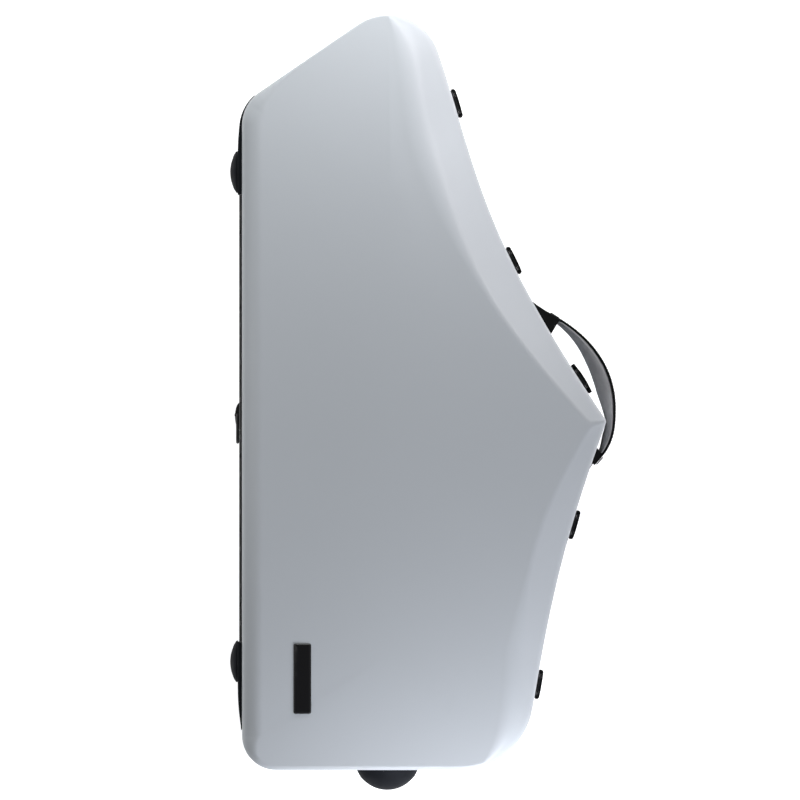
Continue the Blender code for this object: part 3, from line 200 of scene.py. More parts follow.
def case_plan():
    """Outline and crease of the case in plan, point for point, anticlockwise from the top shoulder."""
    top, top_spine, spine, foot = share(0.4778, 1.0389), share(0, 0.8814), share(0, 0), share(0.7711, 0)
    peak = share(1.0026, 0.4618)
    up_1, up_2 = share(0.6536, 0.7863), share(0.6483, 0.7148)
    low_1, low_2 = share(0.8896, 0.3121), share(0.8486, 0.2258)
    shoulder = arc(up_1, top, top_spine, 0.0447, 65)
    apex = int(np.argmax(shoulder[:, 1]))
    heel, heel_start = arc(spine, foot, low_2, 0.0626, 49), 12
    head, tail = arc(top, top_spine, spine, 0.034, 20), arc(top_spine, spine, foot, 0.029, 26)
    plain = np.concatenate([shoulder[apex:], resampled(np.array([shoulder[-1], head[0]]), 0, 0, 16)[1:-1], head,
                            resampled(np.array([head[-1], tail[0]]), 0, 0, 44)[1:-1], tail,
                            resampled(np.array([tail[-1], heel[0]]), 0, 0, 16)[1:-1], heel[:heel_start]])
    # The bell side is two curves that meet in the bell point, with the tip itself cut soft.
    low_points, up_points, tip = 120, 140, 0.0022
    low_side = np.concatenate([heel[heel_start:], bez(peak, low_1, low_2, heel[-1], 90)[::-1][1:]])
    up_side = np.concatenate([bez(shoulder[0], up_1, up_2, peak, 90)[::-1], shoulder[1:apex + 1]])
    low_side, up_side = resampled(low_side, 0, tip, low_points), resampled(up_side, tip, 0, up_points)
    outer = np.concatenate([plain, low_side, bend(low_side[-1], peak, up_side[0]), up_side[:-1]])
    # The face ends a little inside the outline, further in along the spine, and least on the slope at the top.
    edge, edge_at_spine, edge_less = 0.004, 0.013, 0.0028
    reach = np.clip(1 - plain[:, 0] / 0.063, 0, 1)
    reach = ease(reach) * np.clip(plain[:, 1] / 0.029, 0, 1)
    reach = reach * np.clip((top_spine[1] - plain[:, 1]) / 0.034 + 1, 0, 1)
    tight = edge_less * np.clip((plain[:, 1] - 0.572) / 0.016, 0, 1)
    plain_face = plain + inward(outer)[:len(plain)] * (edge - tight + edge_at_spine * reach)[:, None]
    # The crease leaves the edge at the heel, folds inside the bell point and comes back at the shoulder.
    fold, fold_tip = share(0.9608, 0.4571), 0.006
    start = low_side[0] + inward(outer)[len(plain)] * edge
    low_crease = bez(fold, share(0.6833, 0.2433), share(0.8285, 0.1465), start, 120)[::-1]
    up_crease = bez(plain_face[0], share(0.5913, 0.6750), share(0.6289, 0.6346), fold, 120)[::-1]
    low_face = resampled(low_crease, 0, fold_tip, low_points)
    up_face = resampled(up_crease, fold_tip, 0, up_points)
    face = np.concatenate([plain_face, low_face, bend(low_face[-1], fold, up_face[0]), up_face[:-1]])
    # The bevel is full along the bell side and fades to a plain round at both ends.
    count, fade = len(outer) - len(plain), 0.16
    along = np.arange(count)
    bevel = np.zeros(len(outer))
    bevel[len(plain):] = ease(np.clip(np.minimum(along, count - along) / count / fade, 0, 1))
    return outer, face, bevel


OUTER, FACE, BEVEL = case_plan()
WALL_TO_FACE = np.linalg.norm(FACE - OUTER, axis=1)
BEVEL_DROP = WALL_TO_FACE * (1 - 0.1 * BEVEL)  # how far the edge's round or bevel goes down the wall


def in_set(inset):
    """The outline moved inwards, with the fold that this would make at the bell point drawn back to one point."""
    loop = OUTER + inward(OUTER) * inset
    tip = int(np.argmax(OUTER[:, 0]))
    corner = OUTER[tip] - np.array((inset / math.sin(math.radians(POINT_ANGLE)), 0))
    for i in range(tip - 12, tip + 13):
        if loop[i, 0] > corner[0] or (i - tip) * (loop[i, 1] - corner[1]) < 0:
            loop[i] = corner
    return loop


def skin(name, rings, material, capped=True, angle=40):
    """A smooth-shaded mesh through rings of row-frame points, with its ends closed if capped."""
    n = len(rings[0])
    verts = [tuple(p) for ring in rings for p in ring]
    faces = []
    for i in range(len(rings) - 1):
        a, b = i * n, (i + 1) * n
        faces += [(a + j, a + (j + 1) % n, b + (j + 1) % n, b + j) for j in range(n)]
    if capped:
        faces += [tuple(range(n))[::-1], tuple(range((len(rings) - 1) * n, len(rings) * n))]
    mesh = bpy.data.meshes.new(name)
    mesh.from_pydata(verts, [], faces)
    made = bmesh.new()
    made.from_mesh(mesh)
    bmesh.ops.recalc_face_normals(made, faces=made.faces)
    made.to_mesh(mesh)
    made.free()
    mesh.shade_smooth()
    mesh.set_sharp_from_angle(angle=math.radians(angle))
    mesh.materials.append(material)
    return linked(name, mesh)


def at_height(plan, heights, side):
    """A plan loop set at heights above or below the parting plane."""
    heights = np.broadcast_to(heights, len(plan))
    return np.column_stack([plan - CENTRE, PARTING + side * heights])


def new_group(name, inputs, outputs):
    """An effect that several materials share, with named inputs and outputs."""
    made = bpy.data.node_groups.new(name, "ShaderNodeTree")
    for label, kind, value in inputs:
        made.interface.new_socket(label, in_out="INPUT", socket_type="NodeSocket" + kind).default_value = value
    for label, kind in outputs:
        made.interface.new_socket(label, in_out="OUTPUT", socket_type="NodeSocket" + kind)
    return made, made.nodes.new("NodeGroupInput"), made.nodes.new("NodeGroupOutput")


def make_grain():
    """Fine moulded or painted grain: a bump with a slow waviness under it, and a mask of where the grain is high."""
    tree, given, out = new_group("moulded_grain", [("Grain Scale", "Float", 900.0), ("Grain Depth", "Float", 0.05),
                                                   ("Wave Scale", "Float", 30.0), ("Wave Depth", "Float", 0.02)],
                                 [("Normal", "Vector"), ("Grain", "Float")])
    place = node(tree, "TexCoord").outputs["Object"]
    grain = node(tree, "TexNoise", {"Vector": place, "Scale": given.outputs["Grain Scale"], "Detail": 3.0})
    wave = node(tree, "TexNoise", {"Vector": place, "Scale": given.outputs["Wave Scale"], "Detail": 1.0})
    slow = node(tree, "Bump", {"Strength": given.outputs["Wave Depth"], "Distance": 0.01,
                               "Height": wave.outputs["Fac"]})
    fast = node(tree, "Bump", {"Strength": given.outputs["Grain Depth"], "Distance": 0.0005,
                               "Height": grain.outputs["Fac"], "Normal": slow.outputs["Normal"]})
    tree.links.new(fast.outputs["Normal"], out.inputs["Normal"])
    tree.links.new(grain.outputs["Fac"], out.inputs["Grain"])
    return tree


def make_wear():
    """Handling marks: a colour that drifts a little, rubbed patches and fine scratches, and the roughness they have."""
    tree, given, out = new_group("handling_wear", [("Color", "Color", (0.5, 0.5, 0.5, 1)),
                                                   ("Rubbed Color", "Color", (0.6, 0.6, 0.6, 1)),
                                                   ("Drift", "Float", 0.06), ("Rubbing", "Float", 0.2),
                                                   ("Roughness", "Float", 0.4), ("Roughness Spread", "Float", 0.08),
                                                   ("Scale", "Float", 14.0)],
                                 [("Color", "Color"), ("Roughness", "Float"), ("Mask", "Float")])
    place = node(tree, "TexCoord").outputs["Object"]
    cloud = node(tree, "TexNoise", {"Vector": place, "Scale": given.outputs["Scale"], "Detail": 5.0, "Roughness": 0.6})
    drift = node(tree, "MapRange", {"Value": cloud.outputs["Fac"], "From Min": 0.3, "From Max": 0.7, "To Min": 1.0})
    low = node(tree, "Math", {0: 1.0, 1: given.outputs["Drift"]}, operation="SUBTRACT")
    tree.links.new(low.outputs[0], drift.inputs["To Max"])
    tinted = node(tree, "Mix", {"Factor": 1.0, "A": given.outputs["Color"]}, data_type="RGBA", blend_type="MULTIPLY")
    tree.links.new(drift.outputs[0], tinted.inputs["B"])
    stretched = node(tree, "Mapping", {"Vector": place, "Rotation": (0.3, 0.2, 0.7), "Scale": (260.0, 9.0, 90.0)})
    streaks = node(tree, "TexNoise", {"Vector": stretched.outputs["Vector"], "Scale": 1.0, "Detail": 2.0})
    mask = node(tree, "MapRange", {"Value": streaks.outputs["Fac"], "From Min": 0.66, "From Max": 0.74})
    patch = node(tree, "MapRange", {"Value": cloud.outputs["Fac"], "From Min": 0.5, "From Max": 0.72})
    both = node(tree, "Math", {0: mask.outputs[0], 1: patch.outputs[0]}, operation="MULTIPLY")
    rubbed = node(tree, "Math", {0: both.outputs[0], 1: given.outputs["Rubbing"]}, operation="MULTIPLY")
    colour = node(tree, "Mix", {"Factor": rubbed.outputs[0], "A": tinted.outputs["Result"],
                                "B": given.outputs["Rubbed Color"]}, data_type="RGBA")
    centred = node(tree, "Math", {0: cloud.outputs["Fac"], 1: 0.5}, operation="SUBTRACT")
    spread = node(tree, "Math", {0: centred.outputs[0], 1: given.outputs["Roughness Spread"]}, operation="MULTIPLY")
    twice = node(tree, "Math", {0: spread.outputs[0], 1: 2.0, 2: given.outputs["Roughness"]}, operation="MULTIPLY_ADD")
    tree.links.new(colour.outputs["Result"], out.inputs["Color"])
    tree.links.new(twice.outputs[0], out.inputs["Roughness"])
    tree.links.new(rubbed.outputs[0], out.inputs["Mask"])
    return tree


GRAIN, WEAR = make_grain(), make_wear()


def finish_of(name, colour, rubbed, roughness, drift=0.06, rubbing=0.2, spread=0.08, scale=14.0, grain=(900.0, 0.05),
              wave=(30.0, 0.02), metallic=0.0, **extra):
    """A material in one colour with handling wear and surface grain."""
    made = bpy.data.materials.new(name)
    made.use_nodes = True
    tree = made.node_tree
    shader = tree.nodes["Principled BSDF"]
    wear = node(tree, "Group", {"Color": (*colour, 1), "Rubbed Color": (*rubbed, 1), "Drift": drift, "Rubbing": rubbing,
                                "Roughness": roughness, "Roughness Spread": spread, "Scale": scale}, node_tree=WEAR)
    bump = node(tree, "Group", {"Grain Scale": grain[0], "Grain Depth": grain[1],
                                "Wave Scale": wave[0], "Wave Depth": wave[1]}, node_tree=GRAIN)
    tree.links.new(wear.outputs["Color"], shader.inputs["Base Color"])
    tree.links.new(wear.outputs["Roughness"], shader.inputs["Roughness"])
    tree.links.new(bump.outputs["Normal"], shader.inputs["Normal"])
    shader.inputs["Metallic"].default_value = metallic
    for label, value in extra.items():
        shader.inputs[label.replace("_", " ")].default_value = value
    made.diffuse_color = (*colour, 1)
    return made


satin = finish_of("satin_shell", (0.530, 0.565, 0.598), (0.50, 0.52, 0.55), 0.42, drift=0.02, rubbing=0.12, spread=0.05,
                  scale=9.0, grain=(1500.0, 0.03), wave=(9.0, 0.015))


def shell(name, side, depth, crown):
    """One half of the case, from its lip over the wall and the edge to the middle of the face."""
    ways = (FACE - OUTER) / WALL_TO_FACE[:, None]
    slope = np.stack([WALL_TO_FACE, BEVEL_DROP], axis=1)
    length = np.linalg.norm(slope, axis=1)
    slope /= length[:, None]
    # The crease is crisp beside the bell point and softens towards the top and the foot.
    up_share = OUTER[:, 1] / CASE_LENGTH
    soft = np.clip(np.maximum((up_share - 0.62) / 0.25, (0.26 - up_share) / 0.18), 0, 1)
    near, far = np.minimum(0.006, length * 0.3), np.minimum(0.0032 + 0.012 * ease(soft), length * 0.42)
    wall, lip_gap, lip_round = in_set(0.004), 0.00015, 0.0022
    rings = [at_height(wall, 0.013, side), at_height(wall, lip_gap, side)]
    for turn in np.linspace(0, math.pi / 2, 5):
        drawn = in_set(lip_round * (1 - math.sin(turn)))
        rings.append(at_height(drawn, lip_gap + lip_round * (1 - math.cos(turn)), side))
    steps = 22
    for i in range(steps):
        t = i / (steps - 1)
        # Along the spine and the ends the wall rounds over into the face.
        turn = unit((t - 0.06) / 0.88) * math.pi / 2
        past = 0.002 * (max(t - 0.94, 0) - max(0.06 - t, 0)) / 0.06
        round_in = WALL_TO_FACE * (1 - math.cos(turn)) + max(past, 0)
        round_up = BEVEL_DROP * (math.sin(turn) - 1) + min(past, 0)
        # Along the bell side it bends into a flat bevel, and this bends into the face.
        if t < 0.4:
            k = t / 0.4
            flat_in = k * k * slope[:, 0] * near
            flat_up = -BEVEL_DROP - (1 - k)**2 * near + k * k * slope[:, 1] * near
        elif t < 0.5:
            k = (t - 0.4) / 0.1
            flat_in = slope[:, 0] * (near + k * (length - near - far))
            flat_up = -BEVEL_DROP + slope[:, 1] * (near + k * (length - near - far))
        else:
            k = (t - 0.5) / 0.5
            flat_in = WALL_TO_FACE - (1 - k)**2 * slope[:, 0] * far + k * k * far
            flat_up = -(1 - k)**2 * slope[:, 1] * far
        across = round_in + (flat_in - round_in) * BEVEL
        up = round_up + (flat_up - round_up) * BEVEL
        rings.append(at_height(OUTER + ways * across[:, None], depth + up, side))
    # The face closes towards a line down its middle.
    rim = rings[-1][:, :2] + CENTRE
    middle = np.column_stack([np.full(len(rim), 0.125), np.clip(rim[:, 1], 0.10, 0.50)])
    for t in np.linspace(0, 1, 13)[1:]:
        rings.append(at_height(rim + (middle - rim) * t, depth + crown * ease(t), side))
    return skin(name, rings, satin, capped=False)


LID_DEPTH, LID_CROWN = 0.080, 0.0012
lid_look = shell("lid_shell_look", 1, LID_DEPTH, LID_CROWN)
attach(lid_look, "lid")
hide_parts("lid_shell")

# Base shell.
# The same moulding for the other half, deeper and with a flat back that the case lies on.
# It carries the hinge, the latches, the handle and the strap ring.
BASE_DEPTH = 0.100
base_look = shell("base_shell_look", -1, BASE_DEPTH, 0.0)
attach(base_look, "base")
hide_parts("base_shell")

# Rim tongue and seal.
# A hard black plastic band stands inside the base's lip and locates the lid.
# A soft rubber seal lies against it in the lid. Both are bonded in, and show when the case is open.
black = finish_of("black_plastic", (0.0055, 0.0057, 0.0062), (0.022, 0.022, 0.023), 0.50, drift=0.15, rubbing=0.35,
                  spread=0.10, scale=40.0, grain=(2600.0, 0.10), wave=(60.0, 0.01), Specular_IOR_Level=0.12)
rubber = finish_of("slate_rubber", (0.0085, 0.0098, 0.0128), (0.024, 0.026, 0.030), 0.70, drift=0.18, rubbing=0.5,
                   spread=0.12, scale=55.0, grain=(1800.0, 0.16), wave=(80.0, 0.02), Specular_IOR_Level=0.08)


def dress(name, material, bevel=0.0, segments=2):
    """Gives a CAD node its finish, and takes the hard edge off its corners."""
    obj = NODES[name]
    obj.data.materials.clear()
    obj.data.materials.append(material)
    if bevel:
        edge = obj.modifiers.new("soft_edges", "BEVEL")
        edge.width, edge.segments, edge.limit_method, edge.angle_limit = bevel, segments, "ANGLE", math.radians(40)
        edge.use_clamp_overlap = edge.harden_normals = True


dress("rim_tongue", black, 0.0004)
dress("rim_seal", rubber, 0.0008)

# Liners.
# Moulded foam under charcoal plush fills both halves, with a room for the body tube, the bow and the bell, and an open
# tray for the neck and mouthpiece. The cloth is drawn over the foam, so every edge is soft.
def make_plush():
    """Short dense pile: tufts as a bump, brushed light and dark patches, and lint."""
    made = bpy.data.materials.new("dark_plush")
    made.use_nodes = True
    tree = made.node_tree
    shader = tree.nodes["Principled BSDF"]
    place = node(tree, "TexCoord").outputs["Object"]
    tuft = node(tree, "TexVoronoi", {"Vector": place, "Scale": 900.0})
    fuzz = node(tree, "TexNoise", {"Vector": place, "Scale": 420.0, "Detail": 4.0, "Roughness": 0.7})
    brushed = node(tree, "TexNoise", {"Vector": place, "Scale": 16.0, "Detail": 3.0})
    height = node(tree, "Math", {0: tuft.outputs["Distance"], 1: fuzz.outputs["Fac"]}, operation="ADD")
    bump = node(tree, "Bump", {"Strength": 0.7, "Distance": 0.0012, "Height": height.outputs[0]})
    shade = node(tree, "MapRange", {"Value": brushed.outputs["Fac"], "From Min": 0.35, "From Max": 0.65})
    cloth = node(tree, "Mix", {"Factor": shade.outputs[0], "A": (0.026, 0.028, 0.034, 1),
                               "B": (0.048, 0.051, 0.060, 1)}, data_type="RGBA")
    lint = node(tree, "MapRange", {"Value": fuzz.outputs["Fac"], "From Min": 0.66, "From Max": 0.80, "To Max": 0.35})
    specked = node(tree, "Mix", {"Factor": lint.outputs[0], "A": cloth.outputs["Result"], "B": (0.16, 0.165, 0.18, 1)},
                   data_type="RGBA")
    tree.links.new(specked.outputs["Result"], shader.inputs["Base Color"])
    tree.links.new(bump.outputs["Normal"], shader.inputs["Normal"])
    shader.inputs["Roughness"].default_value = 0.95
    shader.inputs["Sheen Weight"].default_value = 0.45
    shader.inputs["Sheen Roughness"].default_value = 0.4
    made.diffuse_color = (0.035, 0.037, 0.042, 1)
    return made


plush = make_plush()


def round_room(start, end, start_r, end_r):
    """A round cutter between two plan points on the parting plane."""
    a, b = (Vector((*(np.array(point) - CENTRE), PARTING)) for point in (start, end))
    made = bmesh.new()
    bmesh.ops.create_cone(made, cap_ends=True, segments=72, radius1=start_r, radius2=end_r, depth=(b - a).length)
    mesh = bpy.data.meshes.new("room")
    made.to_mesh(mesh)
    made.free()
    mesh.transform((b - a).to_track_quat("Z", "Y").to_matrix().to_4x4())
    mesh.transform(Matrix.Translation((a + b) / 2))
    return linked("room", mesh)


def bow_room(middle, half_length, radius):
    """An egg-shaped cutter, longest across the case, for the tube's bow."""
    made = bmesh.new()
    bmesh.ops.create_icosphere(made, subdivisions=5, radius=radius)
    bmesh.ops.scale(made, vec=(half_length / radius, 1, 1), verts=made.verts)
    bmesh.ops.translate(made, vec=(*(np.array(middle) - CENTRE), PARTING), verts=made.verts)
    mesh = bpy.data.meshes.new("bow_room")
    made.to_mesh(mesh)
    made.free()
    return linked("room", mesh)


def liner(name, side, depth, start, step_height, body):
    """A liner block inside the shell, hollowed out for the instrument, with its edges softened by the cloth."""
    under_lip, wide = in_set(0.0092), in_set(0.0052)
    block = [at_height(under_lip, start, side), at_height(under_lip, step_height, side)]
    top, drop = depth - 0.0062, BEVEL_DROP + 0.0040
    for turn in np.linspace(0, math.pi / 2, 6):
        straight = turn / math.pi * 2
        across, up = 1 - math.cos(turn), 1 - math.sin(turn)
        across, up = across + (straight - across) * BEVEL, up + (1 - straight - up) * BEVEL
        block.append(at_height(wide + (FACE - OUTER) * across[:, None], top - drop * up, side))
    made = skin(name, block, plush)
    cutters = [round_room((0.066019, 0.575), (0.0620085, 0.085), 0.030, 0.046),
               round_room((0.15, 0.095), (0.222, 0.315), 0.040, 0.066), bow_room((0.106, 0.085), 0.090, 0.046)]
    if side < 0:
        tray = np.array([(0.1120, 0.3523), (0.2129, 0.3523), (0.1650, 0.5279), (0.1120, 0.5279)])
        cutters.append(skin("tray_room", [at_height(tray, -0.075, 1), at_height(tray, 0.02, 1)], plush))
    for cutter in cutters:
        cut = made.modifiers.new("room", "BOOLEAN")
        cut.operation, cut.solver, cut.object = "DIFFERENCE", "EXACT", cutter
    bpy.context.view_layer.update()
    shaped = bpy.data.meshes.new_from_object(made.evaluated_get(bpy.context.evaluated_depsgraph_get()))
    made.modifiers.clear()
    for cutter in cutters:
        bpy.data.objects.remove(cutter)
    made.data = shaped
    cloth = made.modifiers.new("cloth", "REMESH")
    cloth.mode, cloth.voxel_size, cloth.use_smooth_shade = "VOXEL", 0.0022, True
    soft = made.modifiers.new("drawn_over", "SMOOTH")
    soft.factor, soft.iterations = 0.5, 9
    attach(made, body)
    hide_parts(body + "_liner")
    return made


liner("base_liner_look", -1, BASE_DEPTH, 0.003, 0.0103, "base")
liner("lid_liner_look", 1, LID_DEPTH, 0.005, 0.0086, "lid")

# Piano hinge.
# Two folded black steel leaves with rolled knuckles turn on one bright pin, and domed rivets hold them to the shells.
# It fills the spine between the corner guards.
dark_metal = finish_of("black_metal", (0.009, 0.0093, 0.0102), (0.08, 0.08, 0.085), 0.42, drift=0.12, rubbing=0.5,
                       spread=0.12, scale=70.0, grain=(3200.0, 0.06), wave=(120.0, 0.02), Specular_IOR_Level=0.40)
steel = finish_of("steel", (0.50, 0.51, 0.53), (0.30, 0.30, 0.31), 0.30, drift=0.10, rubbing=0.4, spread=0.12,
                  scale=90.0, grain=(3600.0, 0.05), wave=(150.0, 0.01), metallic=1.0)
dress("hinge_leaf_base", dark_metal, 0.00018)
dress("hinge_leaf_lid", dark_metal, 0.00018)
dress("hinge_pin", steel, 0.0002)
HALVES = ((-1, "base"), (1, "lid"))  # each half's side of the parting plane, and its body
HINGE_START, HINGE_LENGTH, HINGE_U = 0.1082, 0.3800, -0.0009
KNUCKLES, KNUCKLE_START, KNUCKLE_PITCH = 19, 0.10822, 0.019998


def spot(u, v, h):
    """A point from the case's plan and its height over the parting plane."""
    return (u - CENTRE[0], v - CENTRE[1], PARTING + h)


def make_washers(inner=0.00080, outer=0.00172, half_thick=0.00018, sides=24):
    """Thin plastic washers on the hinge's pin, one in each gap between two knuckles."""
    verts, faces = [], []
    for i in range(1, KNUCKLES):
        v, base = KNUCKLE_START + i * KNUCKLE_PITCH, len(verts)
        for reach, along in ((inner, -half_thick), (outer, -half_thick), (outer, half_thick), (inner, half_thick)):
            for k in range(sides):
                a = k / sides * 2 * math.pi
                verts.append(spot(HINGE_U + reach * math.cos(a), v + along, reach * math.sin(a)))
        for ring in range(4):
            a, b = base + ring * sides, base + (ring + 1) % 4 * sides
            faces += [(a + k, a + (k + 1) % sides, b + (k + 1) % sides, b + k) for k in range(sides)]
    mesh = bpy.data.meshes.new("hinge_washers")
    mesh.from_pydata(verts, [], faces)
    mesh.materials.append(black)
    return linked("hinge_washers", mesh)


washers = make_washers()
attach(washers, "base")


def dome(name, seat, outward, radius, height, material, body, skirt=0.0, sides=40, ring=0.0):
    """A round cap on a seat: a short skirt, then a dome, with an optional moulded ring round it."""
    outward, seat = Vector(outward), Vector(seat)
    side = outward.orthogonal().normalized()
    other = outward.cross(side)
    profile = [(radius, 0.0), (radius, skirt * 0.7)]
    ball = (radius**2 + (height - skirt)**2) / (2 * (height - skirt))
    edge = math.asin(1 - (height - skirt) / ball)
    for i in range(13):
        turn = edge + (math.pi / 2 - edge) * (0.03 + 0.97 * i / 12)
        lip = ring * math.exp(-((i - 2.2) / 0.9)**2)
        profile.append((ball * math.cos(turn) + 1e-5, skirt + ball * (math.sin(turn) - 1) + height - skirt + lip))
    rings = [[seat + side * r * math.cos(a) + other * r * math.sin(a) + outward * z
              for a in np.linspace(0, 2 * math.pi, sides, endpoint=False)] for r, z in profile]
    made = skin(name, rings, material, angle=50)
    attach(made, body)
    return made


HINGE_RIVETS = 12
for side, body in HALVES:
    for i in range(HINGE_RIVETS):
        v = HINGE_START + HINGE_LENGTH * (i + 0.5) / HINGE_RIVETS
        dome(f"hinge_rivet_{body}_{i + 1}", spot(-0.0015, v, side * 0.0105), (-1, 0, 0), 0.0021, 0.0008, dark_metal,
             body, sides=20)

# Corner guards and feet.
# Moulded slate rubber wraps the spine's ends and thins out round the corners, with a domed foot on each of them.
# Two larger domes on the bottom edge carry the case when it stands. They are screwed on from inside.
GUARDS = {"lower": ((0.0339, 0.0004), (0.0417, 0.0014), (0.0494, 0.0024), (0.0610, 0.0032), (0.0730, 0.0034),
                    (0.1082, 0.0034)),
          "upper": ((0.4882, 0.0034), (0.5248, 0.0034), (0.5359, 0.0030), (0.5450, 0.0022), (0.5535, 0.0014),
                    (0.5620, 0.0009), (0.5720, 0.0004))}  # thickness at places along the spine
GUARD_STEPS, GUARD_LOW, GUARD_HIGH, GUARD_GAP = 72, 0.0050, 0.0600, 0.0003
spine_side = OUTER[(OUTER[:, 0] < 0.012) & (OUTER[:, 1] > 0.020) & (OUTER[:, 1] < 0.580)][::-1]
for where, table in GUARDS.items():
    table = np.array(table)
    places = np.linspace(table[0, 0], table[-1, 0], GUARD_STEPS)
    smooth = [np.interp(np.clip(places + d, places[0], places[-1]), table[:, 0], table[:, 1])
              for d in np.linspace(-0.005, 0.005, 9)]
    thick = np.mean(smooth, axis=0)
    seat_u = np.interp(places, spine_side[:, 1], spine_side[:, 0])
    lean = np.gradient(seat_u, places)
    outward = np.stack([-np.ones(GUARD_STEPS), lean], axis=1) / np.hypot(1, lean)[:, None]
    for side, body in HALVES:
        rings = []
        for u, v, way, t in zip(seat_u, places, outward, thick):
            cut = min(0.0014, t * 0.7)
            drawn = cut * 0.3
            across = [(0, GUARD_LOW), (t - cut, GUARD_LOW), (t - drawn, GUARD_LOW + drawn), (t, GUARD_LOW + cut),
                      (t, 0.0325), (t, GUARD_HIGH - cut), (t - drawn, GUARD_HIGH - drawn), (t - cut, GUARD_HIGH),
                      (0, GUARD_HIGH)]
            rings.append([spot(u + way[0] * (n + GUARD_GAP), v + way[1] * (n + GUARD_GAP), side * h)
                          for n, h in across])
        guard = skin(f"{where}_guard_{body}_look", rings, rubber, angle=50)
        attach(guard, body)
        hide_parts(f"{where}_guard_{body}")
for side, body in HALVES:
    for where, share_v in (("lower", 0.143), ("upper", 0.792)):
        foot = dome(f"{where}_spine_foot_{body}_look", spot(-0.0039, share_v * CASE_LENGTH, side * 0.0325), (-1, 0, 0),
                    0.0175, 0.0063, rubber, body, skirt=0.0012, sides=64, ring=0.00025)
        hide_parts(f"{where}_spine_foot_{body}")
    foot = dome(f"bottom_foot_{body}_look", spot(0.4 * CASE_WIDTH, 0.0011, side * 0.038), (0.0231, -0.99973, 0),
                0.026, 0.0184, rubber, body, skirt=0.0012, sides=80, ring=0.0004)
    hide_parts(f"bottom_foot_{body}")

# Strap ring.
# A bent black wire ring turns in a rolled barrel on a small plate, half way along the spine.
# It takes the hook of a shoulder strap.
dress("strap_ring_mount", dark_metal, 0.0003)
saddle = np.array([(-0.1541, 0.0014), (-0.1554, 0.0011), (-0.1571, -0.0002), (-0.1584, -0.0020), (-0.1593, -0.0044),
                   (-0.1599, -0.0078), (-0.1601, -0.0112), (-0.1599, -0.0146), (-0.1596, -0.0172), (-0.1590, -0.0190),
                   (-0.1576, -0.0203), (-0.1558, -0.0208), (-0.1541, -0.0209)])
seat = np.array((-0.1540, -0.0098))
rings = []
for z, drawn in ((0.0590, 0.0007), (0.0592, 0.0003), (0.0597, 0.0), (0.0783, 0.0), (0.0788, 0.0003), (0.0790, 0.0007)):
    inset = saddle + (seat - saddle) / np.linalg.norm(seat - saddle, axis=1)[:, None] * drawn
    rings.append([(x, y, z) for x, y in inset])
cover = skin("strap_ring_cover", rings, black)
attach(cover, "base")
half, reach, big, small, wire_radius = 0.012, 0.0233, 0.007, 0.0026, 0.0013
corners = [np.array(c) for c in ((0.0, -half), (0.0, half), (-reach, half), (-reach, -half))]
wire = rounded(corners, (small, small, big, big), 9)
wire_curve = bpy.data.curves.new("strap_ring_look", "CURVE")
wire_curve.dimensions, wire_curve.bevel_depth, wire_curve.bevel_resolution = "3D", wire_radius, 5
line = wire_curve.splines.new("POLY")
line.points.add(len(wire) - 1)
for point, (a, b) in zip(line.points, wire):
    point.co = (*spot(-0.0042, 0.470 * CASE_LENGTH + a, -0.031 + b), 1)
line.use_cyclic_u = line.use_smooth = True
wire_curve.materials.append(dark_metal)
ring = linked("strap_ring_look", wire_curve)
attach(ring, "strap_ring")
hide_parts("strap_ring")

# Draw latches.
# Each has a pressed plate with two ears on the base, a moulded lever that turns in them, and a steel claw that reaches
# from the lever over the lip of a keeper on the lid. All are black. Plate and keeper are riveted; the lever is ribbed.
def placed(middle, along, a, n, h):
    """A point given along the edge, out of the wall and above the parting plane, on a latch's seat."""
    outward = np.array((along[1], -along[0]))
    flat = np.array(middle) + np.array(along) * a + outward * (n - 0.0020)
    return Vector((flat[0], flat[1], PARTING + h))


LATCHES = {"latch_1": ((0.028369, 0.254544), (-0.289163, 0.957280)),
           "latch_2": ((0.076904, 0.121007), (-0.436460, 0.899723)),
           "latch_centre": ((0.134375, 0.020483), (-0.540028, 0.841647)),
           "latch_3": ((0.128517, -0.103686), (0.280181, 0.959947)),
           "latch_4": ((0.098204, -0.239321), (0.169709, 0.985494))}  # middle of the seat, and its way along the edge
LEVER_END, LONG_LEVER_END, LEVER_CORNER, LEVER_FRONT = 0.0121, 0.0137, 0.0010, 0.0034
FOOT_LOW, FOOT_HIGH = -0.0225, -0.0217
RIB_HALF, RIB_N, RIB_HEIGHTS = 0.0085, 0.00432, (-0.0152, -0.0170, -0.0188)
RIB_SECTION = ((-0.0003, -0.0005), (0.00022, -0.0003), (0.00030, 0), (0.00022, 0.0003), (-0.0003, 0.0005))
RIVET_A, RIVET_N = 0.0074, 0.0011
